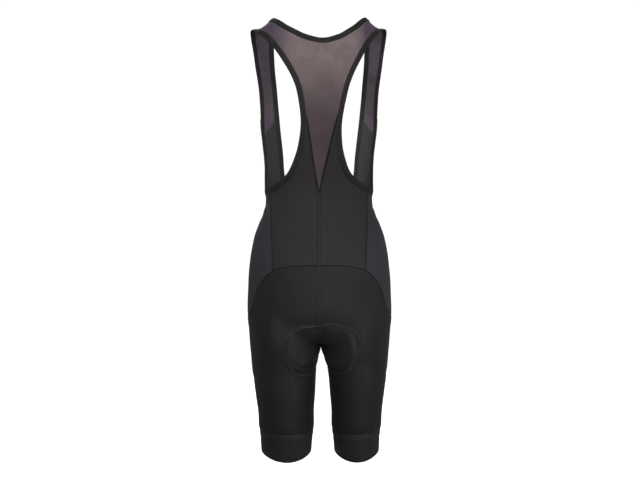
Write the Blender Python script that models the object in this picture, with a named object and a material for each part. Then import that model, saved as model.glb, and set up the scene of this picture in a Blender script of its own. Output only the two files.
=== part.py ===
"""Cycling bib shorts in the form they take when worn, empty: cut-and-sewn cloth walls.

Metres, +Z up. The origin is midway between the two shoulder crests that carry the straps; the
wearer would face -Y, so the back of the garment faces +Y and the wearer's left is +X.
Every piece is one closed wall, worked out from one body form: rings of the torso and legs by
level, and an arc over each shoulder.  Run: blender --background --python part.py
"""
import math

import bmesh
import bpy
import numpy as np
from mathutils import Vector
from mathutils.bvhtree import BVHTree

# ---------------------------------------------------------------- driving dimensions
PANEL = 0.0012            # wall of the lycra and mesh panels
CUFF_WALL = 0.0018
BINDING_EDGE = 0.0016     # wall of a folded binding at its two edges
BINDING_MID = 0.0026      # and at its middle
BINDING_WIDTH = 0.010
SEAM_GAP = 0.0003         # between neighbours at a seam
CENTRE_GAP = SEAM_GAP / 2

CREST_DROP = 0.13         # the shoulder arc reaches full depth this far below the crest
SHOULDER_SLOPE = 0.554    # fall of the shoulder line for each metre outwards
NECK_POINT = 0.0885       # inner end of the shoulder line
SLOPE_ENDS = -0.16        # below this level the rings lie flat
SHOULDER_ENDS = -0.19     # and below this height points are addressed by ring
ROUNDNESS = 2.2           # superellipse power of the torso rings

FORK_TOP = -0.56          # the seat starts to part into two legs
FORK = -0.645             # underside of the crotch
FLANK_FORK = -0.672       # where the thighs are fully round at the sides
FLANK_RUN = 0.090         # the rings lie level again this far below the fork
FORK_FILL = 0.11          # extra depth half way through the fork, for full round thighs
FLANK_SHARE = 0.25        # the rings are down at the flank's height from this share on
FLANK_EASE = 0.4          # share of a late drop in how the flank lies below the seam
LEG_EASE = (0.08, 0.10)   # leg columns drawn away from the inner leg, first and second wave
CUFF_TOP = -0.810
HEM = -0.845
HEM_DIP = 0.016           # the back of the hem hangs lower
HEM_LEAN = 0.07           # its lowest point lies this angle towards the inner leg
LEG_SWAY = -0.0055        # both inner legs hang a little towards the wearer's right
SWAY_TOP = -0.58
SWAY_RUN = 0.16
YOKE_SWAY = -0.0090       # and so does the top of the back
YOKE_SWAY_LOW = -0.35
YOKE_SWAY_RUN = 0.22
FRONT_SWAY_SHARE = 0.3    # the front straps move by this share of it
SHOULDER_SAG = 0.0055     # the mesh sags between its two bindings at the crest
SAG_FROM, SAG_TO = 0.0925, 0.1300      # distances out
SAG_REACH = 0.055         # and fades this far to the back and front
SAG_POWER = 1.2
FORK_HITCH = 0.0060       # the crotch is hitched up this much in the middle
HITCH_REACH = 0.032       # fading this far above and below the fork
HITCH_HALF = 0.035        # and this far out

SEAT_TOP_CENTRE = -0.4822
V_TIP = -0.349
PAD_PROUD = 0.0045        # how far the seat pad lifts the cloth outside
PAD_GAP = 0.0036          # cloth to pad
PAD_MID = 0.008           # pad thickness
PAD_EDGE = 0.002
PAD_WAIST = 0.030         # half width under the fork
PAD_WING = 0.066          # and of the wings at the back
PAD_NOSE = 0.040          # and at the front
PAD_RIDGE = 0.010         # the pad stands this far off the seam under the fork
PAD_WING_RISE = 1.6       # how soon the wings reach their full width
PAD_WING_ROUND = 0.55     # share lost to the rounded ends
PAD_NOSE_ROUND = 0.45
PAD_END_POWER = 6
PAD_SPAN = 0.66           # share of the fork's quarter turn that the pad covers each way
PAD_FAN = 1.4             # how fast its rows turn from down to level
PAD_LEAN = 0.5            # how far the ridge leans in towards each end

# torso rings: level, half width, depth to the back, depth to the front
TORSO = (
    (0.000, 0.1494, 0.092, 0.088),
    (-0.140, 0.1414, 0.093, 0.090),
    (-0.200, 0.1294, 0.090, 0.089),
    (-0.270, 0.1134, 0.082, 0.086),
    (-0.336, 0.1056, 0.072, 0.084),
    (-0.357, 0.1040, 0.071, 0.084),
    (-0.381, 0.1088, 0.074, 0.085),
    (-0.404, 0.1179, 0.080, 0.087),
    (-0.428, 0.1266, 0.088, 0.089),
    (-0.452, 0.1319, 0.095, 0.090),
    (-0.475, 0.1354, 0.101, 0.090),
    (-0.523, 0.1391, 0.110, 0.088),
    (-0.570, 0.1404, 0.112, 0.086),
    (-0.600, 0.1390, 0.107, 0.084),
    (-0.645, 0.1357, 0.094, 0.080),
    (-0.672, 0.1332, 0.084, 0.077),
)
# leg rings: level, outer half width, inner half gap, depth to the back, depth to the front
LEG = (
    (-0.560, 0.1404, 0.0006, 0.104, 0.085),
    (-0.645, 0.1357, 0.0006, 0.089, 0.080),
    (-0.656, 0.1345, 0.0080, 0.086, 0.079),
    (-0.668, 0.1336, 0.0100, 0.083, 0.077),
    (-0.692, 0.1313, 0.0120, 0.078, 0.074),
    (-0.739, 0.1253, 0.0152, 0.070, 0.068),
    (-0.775, 0.1207, 0.0176, 0.064, 0.063),
    (-0.798, 0.1199, 0.0177, 0.061, 0.060),
    (-0.810, 0.1168, 0.0199, 0.058, 0.058),
    (-0.845, 0.1146, 0.0230, 0.055, 0.056),
)
# left armhole, edge of the cloth, from the shoulder crest down the back, under the arm and up
# the front strap: distance out, height, face
ARMHOLE = (
    (0.1336, -0.0240, "crest"),
    (0.1077, -0.0470, "back"),
    (0.0916, -0.0680, "back"),
    (0.0729, -0.0995, "back"),
    (0.0575, -0.1296, "back"),
    (0.0476, -0.1595, "back"),
    (0.0392, -0.2110, "back"),
    (0.0407, -0.2490, "back"),
    (0.0470, -0.2790, "back"),
    (0.0597, -0.3090, "back"),
    (0.0800, -0.3270, "back"),
    (0.0955, -0.3335, "back"),
    (0.1062, -0.3360, "side"),
    (0.1072, -0.3000, "front"),
    (0.1092, -0.2700, "front"),
    (0.1119, -0.2500, "front"),
    (0.1152, -0.2255, "front"),
    (0.1208, -0.1394, "front"),
    (0.1290, -0.0753, "front"),
)
ARM_YOKE, ARM_SIDE, ARM_STRAP = 6, 11, 16      # rows where a seam meets the armhole
# left half of the neckline, from the centre of the back to the centre of the front
NECK = (
    (0.0000, -0.0568, "back"),
    (0.0257, -0.0507, "back"),
    (0.0440, -0.0410, "back"),
    (0.0650, -0.0255, "back"),
    (0.0834, -0.0075, "back"),
    (0.0913, 0.0000, "crest"),
    (0.0915, -0.0690, "front"),
    (0.0868, -0.1320, "front"),
    (0.0813, -0.1925, "front"),
    (0.0735, -0.2635, "front"),
    (0.0700, -0.3050, "front"),
    (0.0610, -0.3480, "front"),
    (0.0390, -0.3860, "front"),
    (0.0000, -0.4050, "front"),
)
NECK_CREST, NECK_STRAP = 5, 8
# left edge of the mesh V: distance out, height
V_EDGE = ((0.0012, -0.347), (0.0165, -0.268), (0.0280, -0.2110))
V_BLUNT = 0.0012          # the back panel's top point is this blunt
# seam between seat and front, from its top corner to the cuff: level, share of the way round
SEAT_SEAM = (
    (-0.4912, 0.2067), (-0.4985, 0.2323), (-0.5102, 0.2675), (-0.5300, 0.3093),
    (-0.5519, 0.3357), (-0.5720, 0.3570), (-0.5880, 0.3850), (-0.6030, 0.4350),
    (-0.6250, 0.5000), (-0.6600, 0.5600), (-0.7200, 0.5950), (-0.8100, 0.6050),
)
# seat pad relief on one seat panel: distance out, height, half width, half height
PAD_RELIEF = (0.0345, -0.6420, 0.0345, 0.0470)
RELIEF_POWER = 2.6        # its outline is a superellipse
RELIEF_RIM = 1.15         # where the swell ends, in half widths raised to that power
RELIEF_EASE = 0.75        # and how much of it is taken by the slope

# rows of the mesh grids
V_ROWS = 8
YOKE_BACK_ROWS = 12
ARM_LOWER_ROWS = 12
STRAP_FRONT_ROWS = 12
STRAP_CREST_ROWS = 9
NECK_BACK_ROWS = 10
SIDE_ROWS = 6
BACK_CENTRE_ROWS = ARM_LOWER_ROWS + SIDE_ROWS - V_ROWS
YOKE_CENTRE_ROWS = V_ROWS + YOKE_BACK_ROWS - NECK_BACK_ROWS + 1
SEAT_LEVELS = (-0.4912, -0.5050, -0.5230, -0.5420)
FORK_STEPS = 9
LEG_LEVELS = (-0.650, -0.658, -0.670, -0.688, -0.712, -0.738, -0.763, -0.783, -0.798, -0.810)
CUFF_LEVELS = (-0.810, -0.8165, -0.828, -0.8385, -0.845)
YOKE_COLUMNS = 4
BACK_COLUMNS = 7
SEAT_COLUMNS = 16
SEAT_SPREAD = 1.4         # seat columns are closer together near the centre
SEAT_TOP_FALL = 2.6       # the top seam runs level first and falls late, by this power
FRONT_COLUMNS = 11
PAD_ROWS = 13
PAD_COLUMNS = 7

FABRICS = {   # colour, roughness
    "mesh": ((0.060, 0.050, 0.052), 0.80),
    "panel": ((0.039, 0.035, 0.039), 0.55),
    "seat": ((0.024, 0.022, 0.024), 0.50),
    "cuff": ((0.024, 0.022, 0.024), 0.62),
    "binding": ((0.018, 0.016, 0.017), 0.60),
    "pad": ((0.050, 0.050, 0.055), 0.90),
}

FLIP = np.array([-1, 1, 1])      # from the left side to the right


# ---------------------------------------------------------------- the body form
def through(rows, column):
    """A smooth function of level through one column of a table, without overshoot."""
    rows = sorted(rows)
    xs = [row[0] for row in rows]
    ys = [row[column] for row in rows]
    rise = [(ys[i + 1] - ys[i]) / (xs[i + 1] - xs[i]) for i in range(len(xs) - 1)]
    slope = [rise[0]]
    for before, after in zip(rise, rise[1:]):
        slope.append(2 * before * after / (before + after) if before * after > 0 else 0.0)
    slope.append(rise[-1])

    def at(level):
        level = min(max(level, xs[0]), xs[-1])
        i = min(max(np.searchsorted(xs, level, side="right") - 1, 0), len(xs) - 2)
        span = xs[i + 1] - xs[i]
        t = (level - xs[i]) / span
        return ((1 + 2 * t) * (1 - t) ** 2 * ys[i] + t * (1 - t) ** 2 * span * slope[i]
                + t * t * (3 - 2 * t) * ys[i + 1] + t * t * (t - 1) * span * slope[i + 1])
    return at


torso_half, torso_back, torso_front = (through(TORSO, i) for i in (1, 2, 3))
leg_outer, leg_inner, leg_back, leg_front = (through(LEG, i) for i in (1, 2, 3, 4))
seat_seam = through(SEAT_SEAM, 1)


def smooth(t):
    t = min(max(t, 0.0), 1.0)
    return t * t * (3 - 2 * t)


def crest_share(level):
    """Share of the full depth: a quarter circle from the crest down."""
    u = max(0.0, 1 + level / CREST_DROP)
    return math.sqrt(max(0.0, 1 - u * u))


def shoulder_rise(out, level):
    return SHOULDER_SLOPE * (NECK_POINT - abs(out)) * smooth(1 - level / SLOPE_ENDS)


def level_of(out, height):
    """The level whose tilted ring passes through a height at a distance out."""
    low, high = height - 0.08, 0.0
    for _ in range(30):
        mid = (low + high) / 2
        if mid + shoulder_rise(out, mid) < height:
            low = mid
        else:
            high = mid
    return (low + high) / 2


def narrowing(out, level):
    """Share of the centre depth left at a distance out."""
    share = min(abs(out) / torso_half(level), 1.0)
    return (1 - share ** ROUNDNESS) ** (1 / ROUNDNESS)


def over_shoulder(out, travel):
    """Point by distance out and travel over the shoulder: 0 at the crest, + down the back."""
    angle = min(abs(travel) / CREST_DROP, math.pi / 2)
    level = -CREST_DROP * (1 - math.cos(angle)) - max(0.0, abs(travel) - CREST_DROP * math.pi / 2)
    depth = torso_back(level) if travel >= 0 else -torso_front(level)
    return np.array([out, depth * math.sin(angle) * narrowing(out, level),
                     level + shoulder_rise(out, level)])


def torso_ring(share, level):
    """Point of the left half ring: share 0 at the centre of the back, 1 at the front."""
    across, along = math.sin(math.pi * share), math.cos(math.pi * share)
    depth = torso_back(level) if along >= 0 else torso_front(level)
    power = 2 / ROUNDNESS
    out = torso_half(level) * max(across, 0.0) ** power
    return np.array([out, math.copysign(depth * abs(along) ** power, along), level])


def leg_turn(share):
    """Angle round the leg, 0 and a full turn at the inner leg, eased near it."""
    half = 2 * min(share, 1 - share)
    first, second = LEG_EASE
    turned = half + first * math.sin(math.pi * half) - second * math.sin(2 * math.pi * half)
    return math.pi * turned if share <= 0.5 else math.pi * (2 - turned)


def leg_ring(share, level, height):
    """Point of the left leg's ring; level sets the inner gap, height the rest."""
    turn = leg_turn(share)
    outer, inner = leg_outer(height), leg_inner(level)
    depth = leg_back(height) if math.sin(turn) >= 0 else leg_front(height)
    low = smooth((CUFF_TOP - level) / (CUFF_TOP - HEM))
    dip = HEM_DIP * low * (0.5 + 0.5 * math.sin(turn + HEM_LEAN)) ** 3
    return np.array([(outer + inner) / 2 - (outer - inner) / 2 * math.cos(turn),
                     depth * math.sin(turn), height - dip])


def fork_turn(level):
    """0 above the fork to 1 at its underside, by angle along the rise seam's quarter ellipse."""
    t = min(max((level - FORK_TOP) / (FORK - FORK_TOP), 0.0), 1.0)
    return math.asin(t) / (math.pi / 2)


def flank_height(level):
    """Height of a ring at the side of the thigh, where it lies lower than at the seam."""
    if level > FORK:
        turn = fork_turn(level)
        drop = (1 - FLANK_EASE) * turn + FLANK_EASE * turn ** 3
        return FORK_TOP + (FLANK_FORK - FORK_TOP) * drop
    return level + (FLANK_FORK - FORK) * (1 - smooth((FORK - level) / FLANK_RUN))


def plain_form(share, level):
    if level >= FORK_TOP:
        return torso_ring(share, level)
    flank = smooth(min(share, 1 - share) / FLANK_SHARE)
    height = level + (flank_height(level) - level) * flank
    parted = 1 - math.cos(math.pi / 2 * fork_turn(level))
    fill = 1 + FORK_FILL * 4 * parted * (1 - parted) * flank
    return ((1 - parted) * torso_ring(share, height)
            + parted * leg_ring(share, level, height)) * (1, fill, 1)


def outward(form, share, level, step=1e-4):
    """Unit normal of a form, from its slopes round and up."""
    round_ = (form(min(share + step, 1.0), level) - form(max(share - step, 0.0), level))
    up = form(share, level + step) - form(share, level - step)
    normal = np.cross(up, round_)
    return normal / np.linalg.norm(normal)


def relief(point):
    """Height of the pad's swell under the seat, at a point of the back."""
    centre_out, centre_height, half_width, half_height = PAD_RELIEF
    if point[1] < 0:
        return 0.0
    reach = (abs((point[0] - centre_out) / half_width) ** RELIEF_POWER
             + abs((point[2] - centre_height) / half_height) ** RELIEF_POWER)
    return PAD_PROUD * smooth((RELIEF_RIM - reach) / RELIEF_EASE)


def body(share, level):
    """The garment's middle surface, left side, by share of the way round and level."""
    point = plain_form(share, level)
    lift = relief(point)
    if lift > 0:
        point = point + lift * outward(plain_form, share, level)
    return point


def sway(point):
    """The garment hangs a little to one side, sags at the shoulders and is hitched at the fork."""
    out, deep, height = point
    legs = LEG_SWAY * smooth((SWAY_TOP - height) / SWAY_RUN)
    legs *= max(0.0, 1 - (out / leg_outer(min(height, FORK_TOP))) ** 2)
    yoke = YOKE_SWAY * smooth((height - YOKE_SWAY_LOW) / YOKE_SWAY_RUN)
    yoke *= max(0.0, 1 - (out / torso_half(height)) ** 2)
    yoke *= min(max(deep / torso_back(height), FRONT_SWAY_SHARE), 1.0)
    across = min(max((abs(out) - SAG_FROM) / (SAG_TO - SAG_FROM), 0.0), 1.0)
    sag = SHOULDER_SAG * math.sin(math.pi * across) ** SAG_POWER if 0 < across < 1 else 0.0
    sag *= smooth(1 - abs(deep) / SAG_REACH) * (height > SHOULDER_ENDS)
    hitch = FORK_HITCH * smooth(1 - abs(height - FORK) / HITCH_REACH)
    hitch *= smooth(1 - abs(out) / HITCH_HALF)
    return np.array([out + legs + yoke, deep, height - sag + hitch])


# ---------------------------------------------------------------- addresses on the form
def ring_address(point):
    out = min(abs(point[0]) / torso_half(point[2]), 1.0)
    depth = torso_back(point[2]) if point[1] >= 0 else torso_front(point[2])
    along = min(abs(point[1]) / depth, 1.0)
    half = ROUNDNESS / 2
    return math.atan2(out ** half, math.copysign(along ** half, point[1])) / math.pi, point[2]


def shoulder_address(point):
    level = level_of(point[0], point[2])
    full = (torso_back(level) if point[1] >= 0 else torso_front(level))
    reach = abs(point[1]) / (full * narrowing(point[0], level))
    angle = math.atan2(min(reach, 1.0), max(0.0, 1 + level / CREST_DROP))
    travel = CREST_DROP * angle + max(0.0, -CREST_DROP - level)
    return point[0], math.copysign(travel, point[1])


def on_shoulder(point):
    """The form's point beside any point above the hips, and its normal."""
    if point[0] < 0:
        place, normal = on_shoulder(point * FLIP)
        return place * FLIP, normal * FLIP
    if point[2] > SHOULDER_ENDS:
        out, travel = shoulder_address(point)
        return over_shoulder(out, travel), shoulder_normal(out, travel)
    share, level = ring_address(point)
    return torso_ring(share, level), outward(torso_ring, share, level)


def shoulder_normal(out, travel, step=1e-4):
    across = over_shoulder(out + step, travel) - over_shoulder(out - step, travel)
    down = over_shoulder(out, travel + step) - over_shoulder(out, travel - step)
    normal = np.cross(across, down)
    return normal / np.linalg.norm(normal)


def edge_point(out, height, face):
    if face == "crest":
        return over_shoulder(out, 0.0)
    if face == "side":
        return torso_ring(0.5, height)
    level = level_of(out, height)
    depth = torso_back(level) if face == "back" else -torso_front(level)
    return np.array([out, depth * crest_share(level) * narrowing(out, level), height])


def share_at(out, level):
    """Share of the way round the back at a distance out."""
    return math.asin((out / torso_half(level)) ** (ROUNDNESS / 2)) / math.pi


# ---------------------------------------------------------------- seams
def spline(points, closed, steps=14):
    """Dense points of a smooth curve through the given ones, and where each given one is."""
    count = len(points)
    spans = count if closed else count - 1
    dense, marks = [], []
    for i in range(spans):
        if closed:
            p = [points[(i + k) % count] for k in (-1, 0, 1, 2)]
        else:
            first = points[i - 1] if i else points[1] * FLIP
            last = points[i + 2] if i + 2 < count else points[i] * FLIP
            p = [first, points[i], points[i + 1], last]
        marks.append(len(dense))
        for k in range(steps):
            t = k / steps
            dense.append(0.5 * (2 * p[1] + (p[2] - p[0]) * t
                                + (2 * p[0] - 5 * p[1] + 4 * p[2] - p[3]) * t * t
                                + (3 * p[1] - p[0] - 3 * p[2] + p[3]) * t ** 3))
    marks.append(len(dense))
    dense.append(points[0] if closed else points[-1])
    return np.array(dense), marks


def spaced(dense, start, end, count):
    """Points evenly spaced along a stretch of a dense curve, both ends included."""
    stretch = dense[start:end + 1]
    run = np.concatenate([[0], np.cumsum(np.linalg.norm(np.diff(stretch, axis=0), axis=1))])
    wanted = np.linspace(0, run[-1], count + 1)
    return [np.array([np.interp(w, run, stretch[:, axis]) for axis in range(3)]) for w in wanted]


def binding_rows(loop, closed):
    """Edge, middle and seam side of a binding along a cloth edge, on the form."""
    edge, middle, seam = [], [], []
    count = len(loop)
    for i, point in enumerate(loop):
        if closed:
            tangent = loop[(i + 1) % count] - loop[i - 1]
        else:
            before = loop[i - 1] if i else loop[1] * FLIP
            after = loop[i + 1] if i + 1 < count else loop[count - 2] * FLIP
            tangent = after - before
        tangent = tangent / np.linalg.norm(tangent)
        here, normal = on_shoulder(point)
        inward = np.cross(normal, tangent)
        inward = inward / np.linalg.norm(inward)
        edge.append(here)
        middle.append(on_shoulder(here + inward * BINDING_WIDTH / 2)[0])
        seam.append(on_shoulder(here + inward * BINDING_WIDTH)[0])
    return edge, middle, seam


def armhole_loop():
    dense, marks = spline([edge_point(*row) for row in ARMHOLE], closed=True)
    stretches = ((0, ARM_YOKE, YOKE_BACK_ROWS), (ARM_YOKE, ARM_SIDE, ARM_LOWER_ROWS),
                 (ARM_SIDE, ARM_STRAP, STRAP_FRONT_ROWS),
                 (ARM_STRAP, len(ARMHOLE), STRAP_CREST_ROWS))
    loop = []
    for first, last, count in stretches:
        loop += spaced(dense, marks[first], marks[last], count)[:-1]
    return loop


def neck_half():
    dense, marks = spline([edge_point(*row) for row in NECK], closed=False)
    stretches = ((0, NECK_CREST, NECK_BACK_ROWS), (NECK_CREST, NECK_STRAP, STRAP_CREST_ROWS),
                 (NECK_STRAP, len(NECK) - 1, STRAP_FRONT_ROWS))
    half = []
    for first, last, count in stretches:
        half += spaced(dense, marks[first], marks[last], count)[:-1]
    return half + [dense[-1]]


ARM_EDGE, ARM_MIDDLE, ARM_SEAM = binding_rows(armhole_loop(), closed=True)
NECK_EDGE, NECK_MIDDLE, NECK_SEAM = binding_rows(neck_half(), closed=False)
for row in (NECK_EDGE, NECK_MIDDLE, NECK_SEAM):
    for end in (row[0], row[-1]):
        end[0] = 0.0

# where each stretch of the armhole and neck seams starts and ends
AT_YOKE = YOKE_BACK_ROWS
AT_SIDE = AT_YOKE + ARM_LOWER_ROWS
AT_STRAP = AT_SIDE + STRAP_FRONT_ROWS
AT_NECK_CREST = NECK_BACK_ROWS
AT_NECK_STRAP = AT_NECK_CREST + STRAP_CREST_ROWS


def straight(first, last, count, spread=1.0):
    """Addresses along a straight stretch; spread over 1 gathers them near the first."""
    return [tuple(a + (b - a) * (k / count) ** spread for a, b in zip(first, last))
            for k in range(count + 1)]


def v_edge_points():
    """The V's left edge from its tip up, on the back, with the blunt end of the back panel."""
    across = through([(height, out) for out, height in V_EDGE], 1)
    heights = np.linspace(V_EDGE[0][1], ARM_SEAM[AT_YOKE][2], V_ROWS + 1)
    points = [edge_point(across(height), height, "back") for height in heights]
    points[-1] = edge_point(ARM_SEAM[AT_YOKE][0] - V_BLUNT, heights[-1], "back")
    return points


def fork_levels():
    steps = [math.sin(math.pi / 2 * k / (FORK_STEPS - 1)) for k in range(FORK_STEPS)]
    return [FORK_TOP + (FORK - FORK_TOP) * step for step in steps]


V_POINTS = v_edge_points()
LOWER_LEVELS = list(SEAT_LEVELS) + fork_levels() + list(LEG_LEVELS)
SIDE_CORNER = ring_address(ARM_SEAM[AT_SIDE])
SEAT_CORNER = (seat_seam(SEAT_LEVELS[0]), SEAT_LEVELS[0])


def side_back_seam():
    """From the seat's corner up to the armhole, nearly plumb on the back."""
    out_low = torso_ring(*SEAT_CORNER)[0]
    out_high = ARM_SEAM[AT_SIDE][0]
    seam = []
    for k in range(SIDE_ROWS + 1):
        level = SEAT_CORNER[1] + (SIDE_CORNER[1] - SEAT_CORNER[1]) * k / SIDE_ROWS
        out = out_low + (out_high - out_low) * k / SIDE_ROWS
        seam.append((share_at(out, level), level))
    return seam


def seat_centre_level(level):
    """The seat's top seam rises to the centre; lower rows lie level."""
    fade = smooth((level - FORK_TOP) / (SEAT_LEVELS[0] - FORK_TOP))
    return level + (SEAT_TOP_CENTRE - SEAT_LEVELS[0]) * fade


# ---------------------------------------------------------------- walls
class Sheet:
    """The middle surface of a piece: points, normals and faces."""

    def __init__(self):
        self.points, self.normals, self.faces = [], [], []

    def add(self, rows, closed=False):
        """Rows of (point, normal) make a grid of faces; closed joins the last row to the first."""
        start, width = len(self.points), len(rows[0])
        for row in rows:
            for point, normal in row:
                self.points.append(point)
                self.normals.append(normal)
        last = len(rows) if closed else len(rows) - 1
        for i in range(last):
            a, b = start + i * width, start + (i + 1) % len(rows) * width
            for j in range(width - 1):
                self.faces.append((a + j, a + j + 1, b + j + 1, b + j))
        return self

    def weld(self):
        """Join points that share a place, and drop faces that close up."""
        seen, index, points, normals = {}, [], [], []
        for point, normal in zip(self.points, self.normals):
            key = tuple(int(round(value * 1e6)) for value in point)
            if key not in seen:
                seen[key] = len(points)
                points.append(point)
                normals.append(normal.copy())
            else:
                normals[seen[key]] = normals[seen[key]] + normal
            index.append(seen[key])
        self.points = points
        self.normals = [normal / np.linalg.norm(normal) for normal in normals]
        faces = []
        for face in self.faces:
            ring = [index[i] for i in face]
            ring = [v for k, v in enumerate(ring) if v != ring[k - 1]]
            if len(set(ring)) > 2:
                faces.append(tuple(ring))
        self.faces = faces
        return self

    def edges(self):
        """Outer edges, each once, in the direction of its face."""
        used = {(f[k - 1], f[k]) for f in self.faces for k in range(len(f))}
        return [edge for edge in used if (edge[1], edge[0]) not in used]

    def draw_in(self, gap=CENTRE_GAP):
        """Pull the outer edges back, so that neighbours stay a seam gap apart."""
        pull = {}
        for a, b in sorted(self.edges()):
            along = self.points[b] - self.points[a]
            inward = np.cross(self.normals[a] + self.normals[b], along)
            size = np.linalg.norm(inward)
            if size > 0:
                for v in (a, b):
                    pull.setdefault(v, []).append(inward / size)
        facing = self.facing()
        for v, ways in pull.items():
            total = sum(ways)
            size = np.linalg.norm(total)
            if size < 1e-6:
                continue
            total = total / size
            mitre = max(0.5, float(np.mean([np.dot(total, way) for way in ways])))
            self.points[v] = self.points[v] + facing * total * gap / mitre
        return self

    def even_normals(self):
        """Normals from the faces round each point, for a sheet that bends sharply."""
        sign = self.facing()
        total = [np.zeros(3) for _ in self.points]
        for f in self.faces:
            for k, v in enumerate(f):
                before, after = self.points[f[k - 1]], self.points[f[(k + 1) % len(f)]]
                total[v] += sign * np.cross(after - self.points[v], before - self.points[v])
        self.normals = [normal / np.linalg.norm(normal) for normal in total]
        return self

    def facing(self):
        """1 where the faces turn the way of the normals, -1 where they turn against them."""
        score = 0.0
        for f in self.faces:
            a, b, c = (self.points[f[k]] for k in (0, 1, 2))
            score += float(np.dot(np.cross(b - a, c - a), self.normals[f[0]]))
        return 1.0 if score > 0 else -1.0


def put_object(name, points, faces, fabric):
    mesh = bpy.data.meshes.new(name)
    mesh.from_pydata([tuple(p) for p in points], [], faces)
    mesh.validate()
    work = bmesh.new()
    work.from_mesh(mesh)
    bmesh.ops.triangulate(work, faces=work.faces[:])
    work.to_mesh(mesh)
    work.free()
    for polygon in mesh.polygons:
        polygon.use_smooth = True
    mesh.set_sharp_from_angle(angle=math.radians(50))
    piece = bpy.data.objects.new(name, mesh)
    bpy.context.scene.collection.objects.link(piece)
    colour, roughness = FABRICS[fabric]
    material = bpy.data.materials.new(name)
    material.use_nodes = True
    shader = material.node_tree.nodes["Principled BSDF"]
    shader.inputs["Base Color"].default_value = (*colour, 1)
    shader.inputs["Roughness"].default_value = roughness
    shader.inputs["Metallic"].default_value = 0.0
    mesh.materials.append(material)
    return piece


def wall(name, sheet, fabric, outside, inside, side=None, mirror=False):
    """Close a sheet into a wall: each point moved out and in along its normal, and rims.

    side=1 keeps the whole wall on the left of the centre plane; mirror makes the right piece.
    """
    count = len(sheet.points)
    out = outside if callable(outside) else (lambda i: outside)
    in_ = inside if callable(inside) else (lambda i: inside)
    points = [p + n * out(i) for i, (p, n) in enumerate(zip(sheet.points, sheet.normals))]
    points += [p - n * in_(i) for i, (p, n) in enumerate(zip(sheet.points, sheet.normals))]
    if side:
        points = [np.array([max(p[0], CENTRE_GAP), p[1], p[2]]) for p in points]
    if mirror:
        points = [p * FLIP for p in points]
    points = [sway(p) for p in points]
    faces = list(sheet.faces)
    faces += [tuple(i + count for i in reversed(face)) for face in sheet.faces]
    faces += [(b, a, a + count, b + count) for a, b in sorted(sheet.edges())]
    turned = (sheet.facing() < 0) != bool(mirror)
    if turned:
        faces = [tuple(reversed(face)) for face in faces]
    return put_object(name, points, faces, fabric)


def ruled(inner, outer, columns, form, normal_of, spread=1.0, falls=()):
    """A grid between two matched lists of addresses on a form.

    falls gives the first rows a power over 1, by which their level changes late.
    """
    rows = []
    for k, (a, b) in enumerate(zip(inner, outer)):
        fall = falls[k] if k < len(falls) else 1.0
        row = []
        for share, level in straight(a, b, columns, spread):
            if fall != 1.0:
                late = ((share - a[0]) / (b[0] - a[0])) ** fall
                level = a[1] + (b[1] - a[1]) * late
            row.append((form(share, level), normal_of(share, level)))
        rows.append(row)
    return rows


def body_normal(share, level):
    return outward(body, share, level)


# ---------------------------------------------------------------- the pieces
def back_sheet():
    """Solid upper back, from the seat seam up between the V and the armhole."""
    centre = straight((0.0, SEAT_TOP_CENTRE), (0.0, V_TIP), BACK_CENTRE_ROWS - 1)
    inner = centre + [ring_address(point) for point in V_POINTS]
    outer = side_back_seam() + [ring_address(ARM_SEAM[AT_SIDE - k])
                                for k in range(1, ARM_LOWER_ROWS + 1)]
    falls = [1 + (SEAT_TOP_FALL - 1) * (1 - k / SIDE_ROWS) for k in range(SIDE_ROWS)]
    return Sheet().add(ruled(inner, outer, BACK_COLUMNS, body, body_normal, falls=falls))


def seat_sheet():
    """Seat and back of the leg, from the top seam to the cuff."""
    inner = [(0.0, seat_centre_level(level)) for level in LOWER_LEVELS]
    outer = [(seat_seam(level), level) for level in LOWER_LEVELS]
    falls = [SEAT_TOP_FALL] * len(LOWER_LEVELS)
    return Sheet().add(ruled(inner, outer, SEAT_COLUMNS, body, body_normal, SEAT_SPREAD, falls))


def front_sheet():
    """Side, front and front of the leg, with the solid lower strap."""
    lower = list(reversed(LOWER_LEVELS))
    outer = [(seat_seam(level), level) for level in lower]
    inner = [(1.0, level) for level in lower]
    outer += side_back_seam()[1:]
    inner += straight((1.0, SEAT_CORNER[1]), (1.0, NECK_SEAM[-1][2]), SIDE_ROWS)[1:]
    for k in range(1, STRAP_FRONT_ROWS + 1):
        outer.append(ring_address(ARM_SEAM[AT_SIDE + k]))
        inner.append(ring_address(NECK_SEAM[-1 - k]))
    rows = ruled(inner, outer, FRONT_COLUMNS, body, body_normal)
    rows[-1] = [(point, body_normal(*ring_address(point))) for point in strap_seam(FRONT_COLUMNS)]
    return Sheet().add(rows)


def strap_seam(columns):
    """Slanting seam across the front strap, from its inner edge to its outer edge."""
    inner = shoulder_address(NECK_SEAM[AT_NECK_STRAP])
    outer = shoulder_address(ARM_SEAM[AT_STRAP])
    return [over_shoulder(*address) for address in straight(inner, outer, columns)]


def yoke_sheet():
    """Mesh: the V, the upper back, over both shoulders and down to the strap seams."""
    centre_top = shoulder_address(NECK_SEAM[0])
    centre_low = shoulder_address(V_POINTS[0])
    outer = [shoulder_address(point) for point in V_POINTS]
    inner = straight((0.0, centre_low[1]), (0.0, centre_top[1]), YOKE_CENTRE_ROWS)
    outer += [shoulder_address(ARM_SEAM[AT_YOKE - k]) for k in range(YOKE_BACK_ROWS)]
    outer += [shoulder_address(ARM_SEAM[-k]) for k in range(0, STRAP_CREST_ROWS + 1)]
    inner += [shoulder_address(NECK_SEAM[k]) for k in range(1, AT_NECK_STRAP + 1)]
    rows = ruled(inner, outer, YOKE_COLUMNS, over_shoulder, shoulder_normal)
    mirrored = [[(point * FLIP, normal * FLIP) for point, normal in reversed(row)]
                for row in rows]
    return Sheet().add(rows).add(mirrored).weld()


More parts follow.
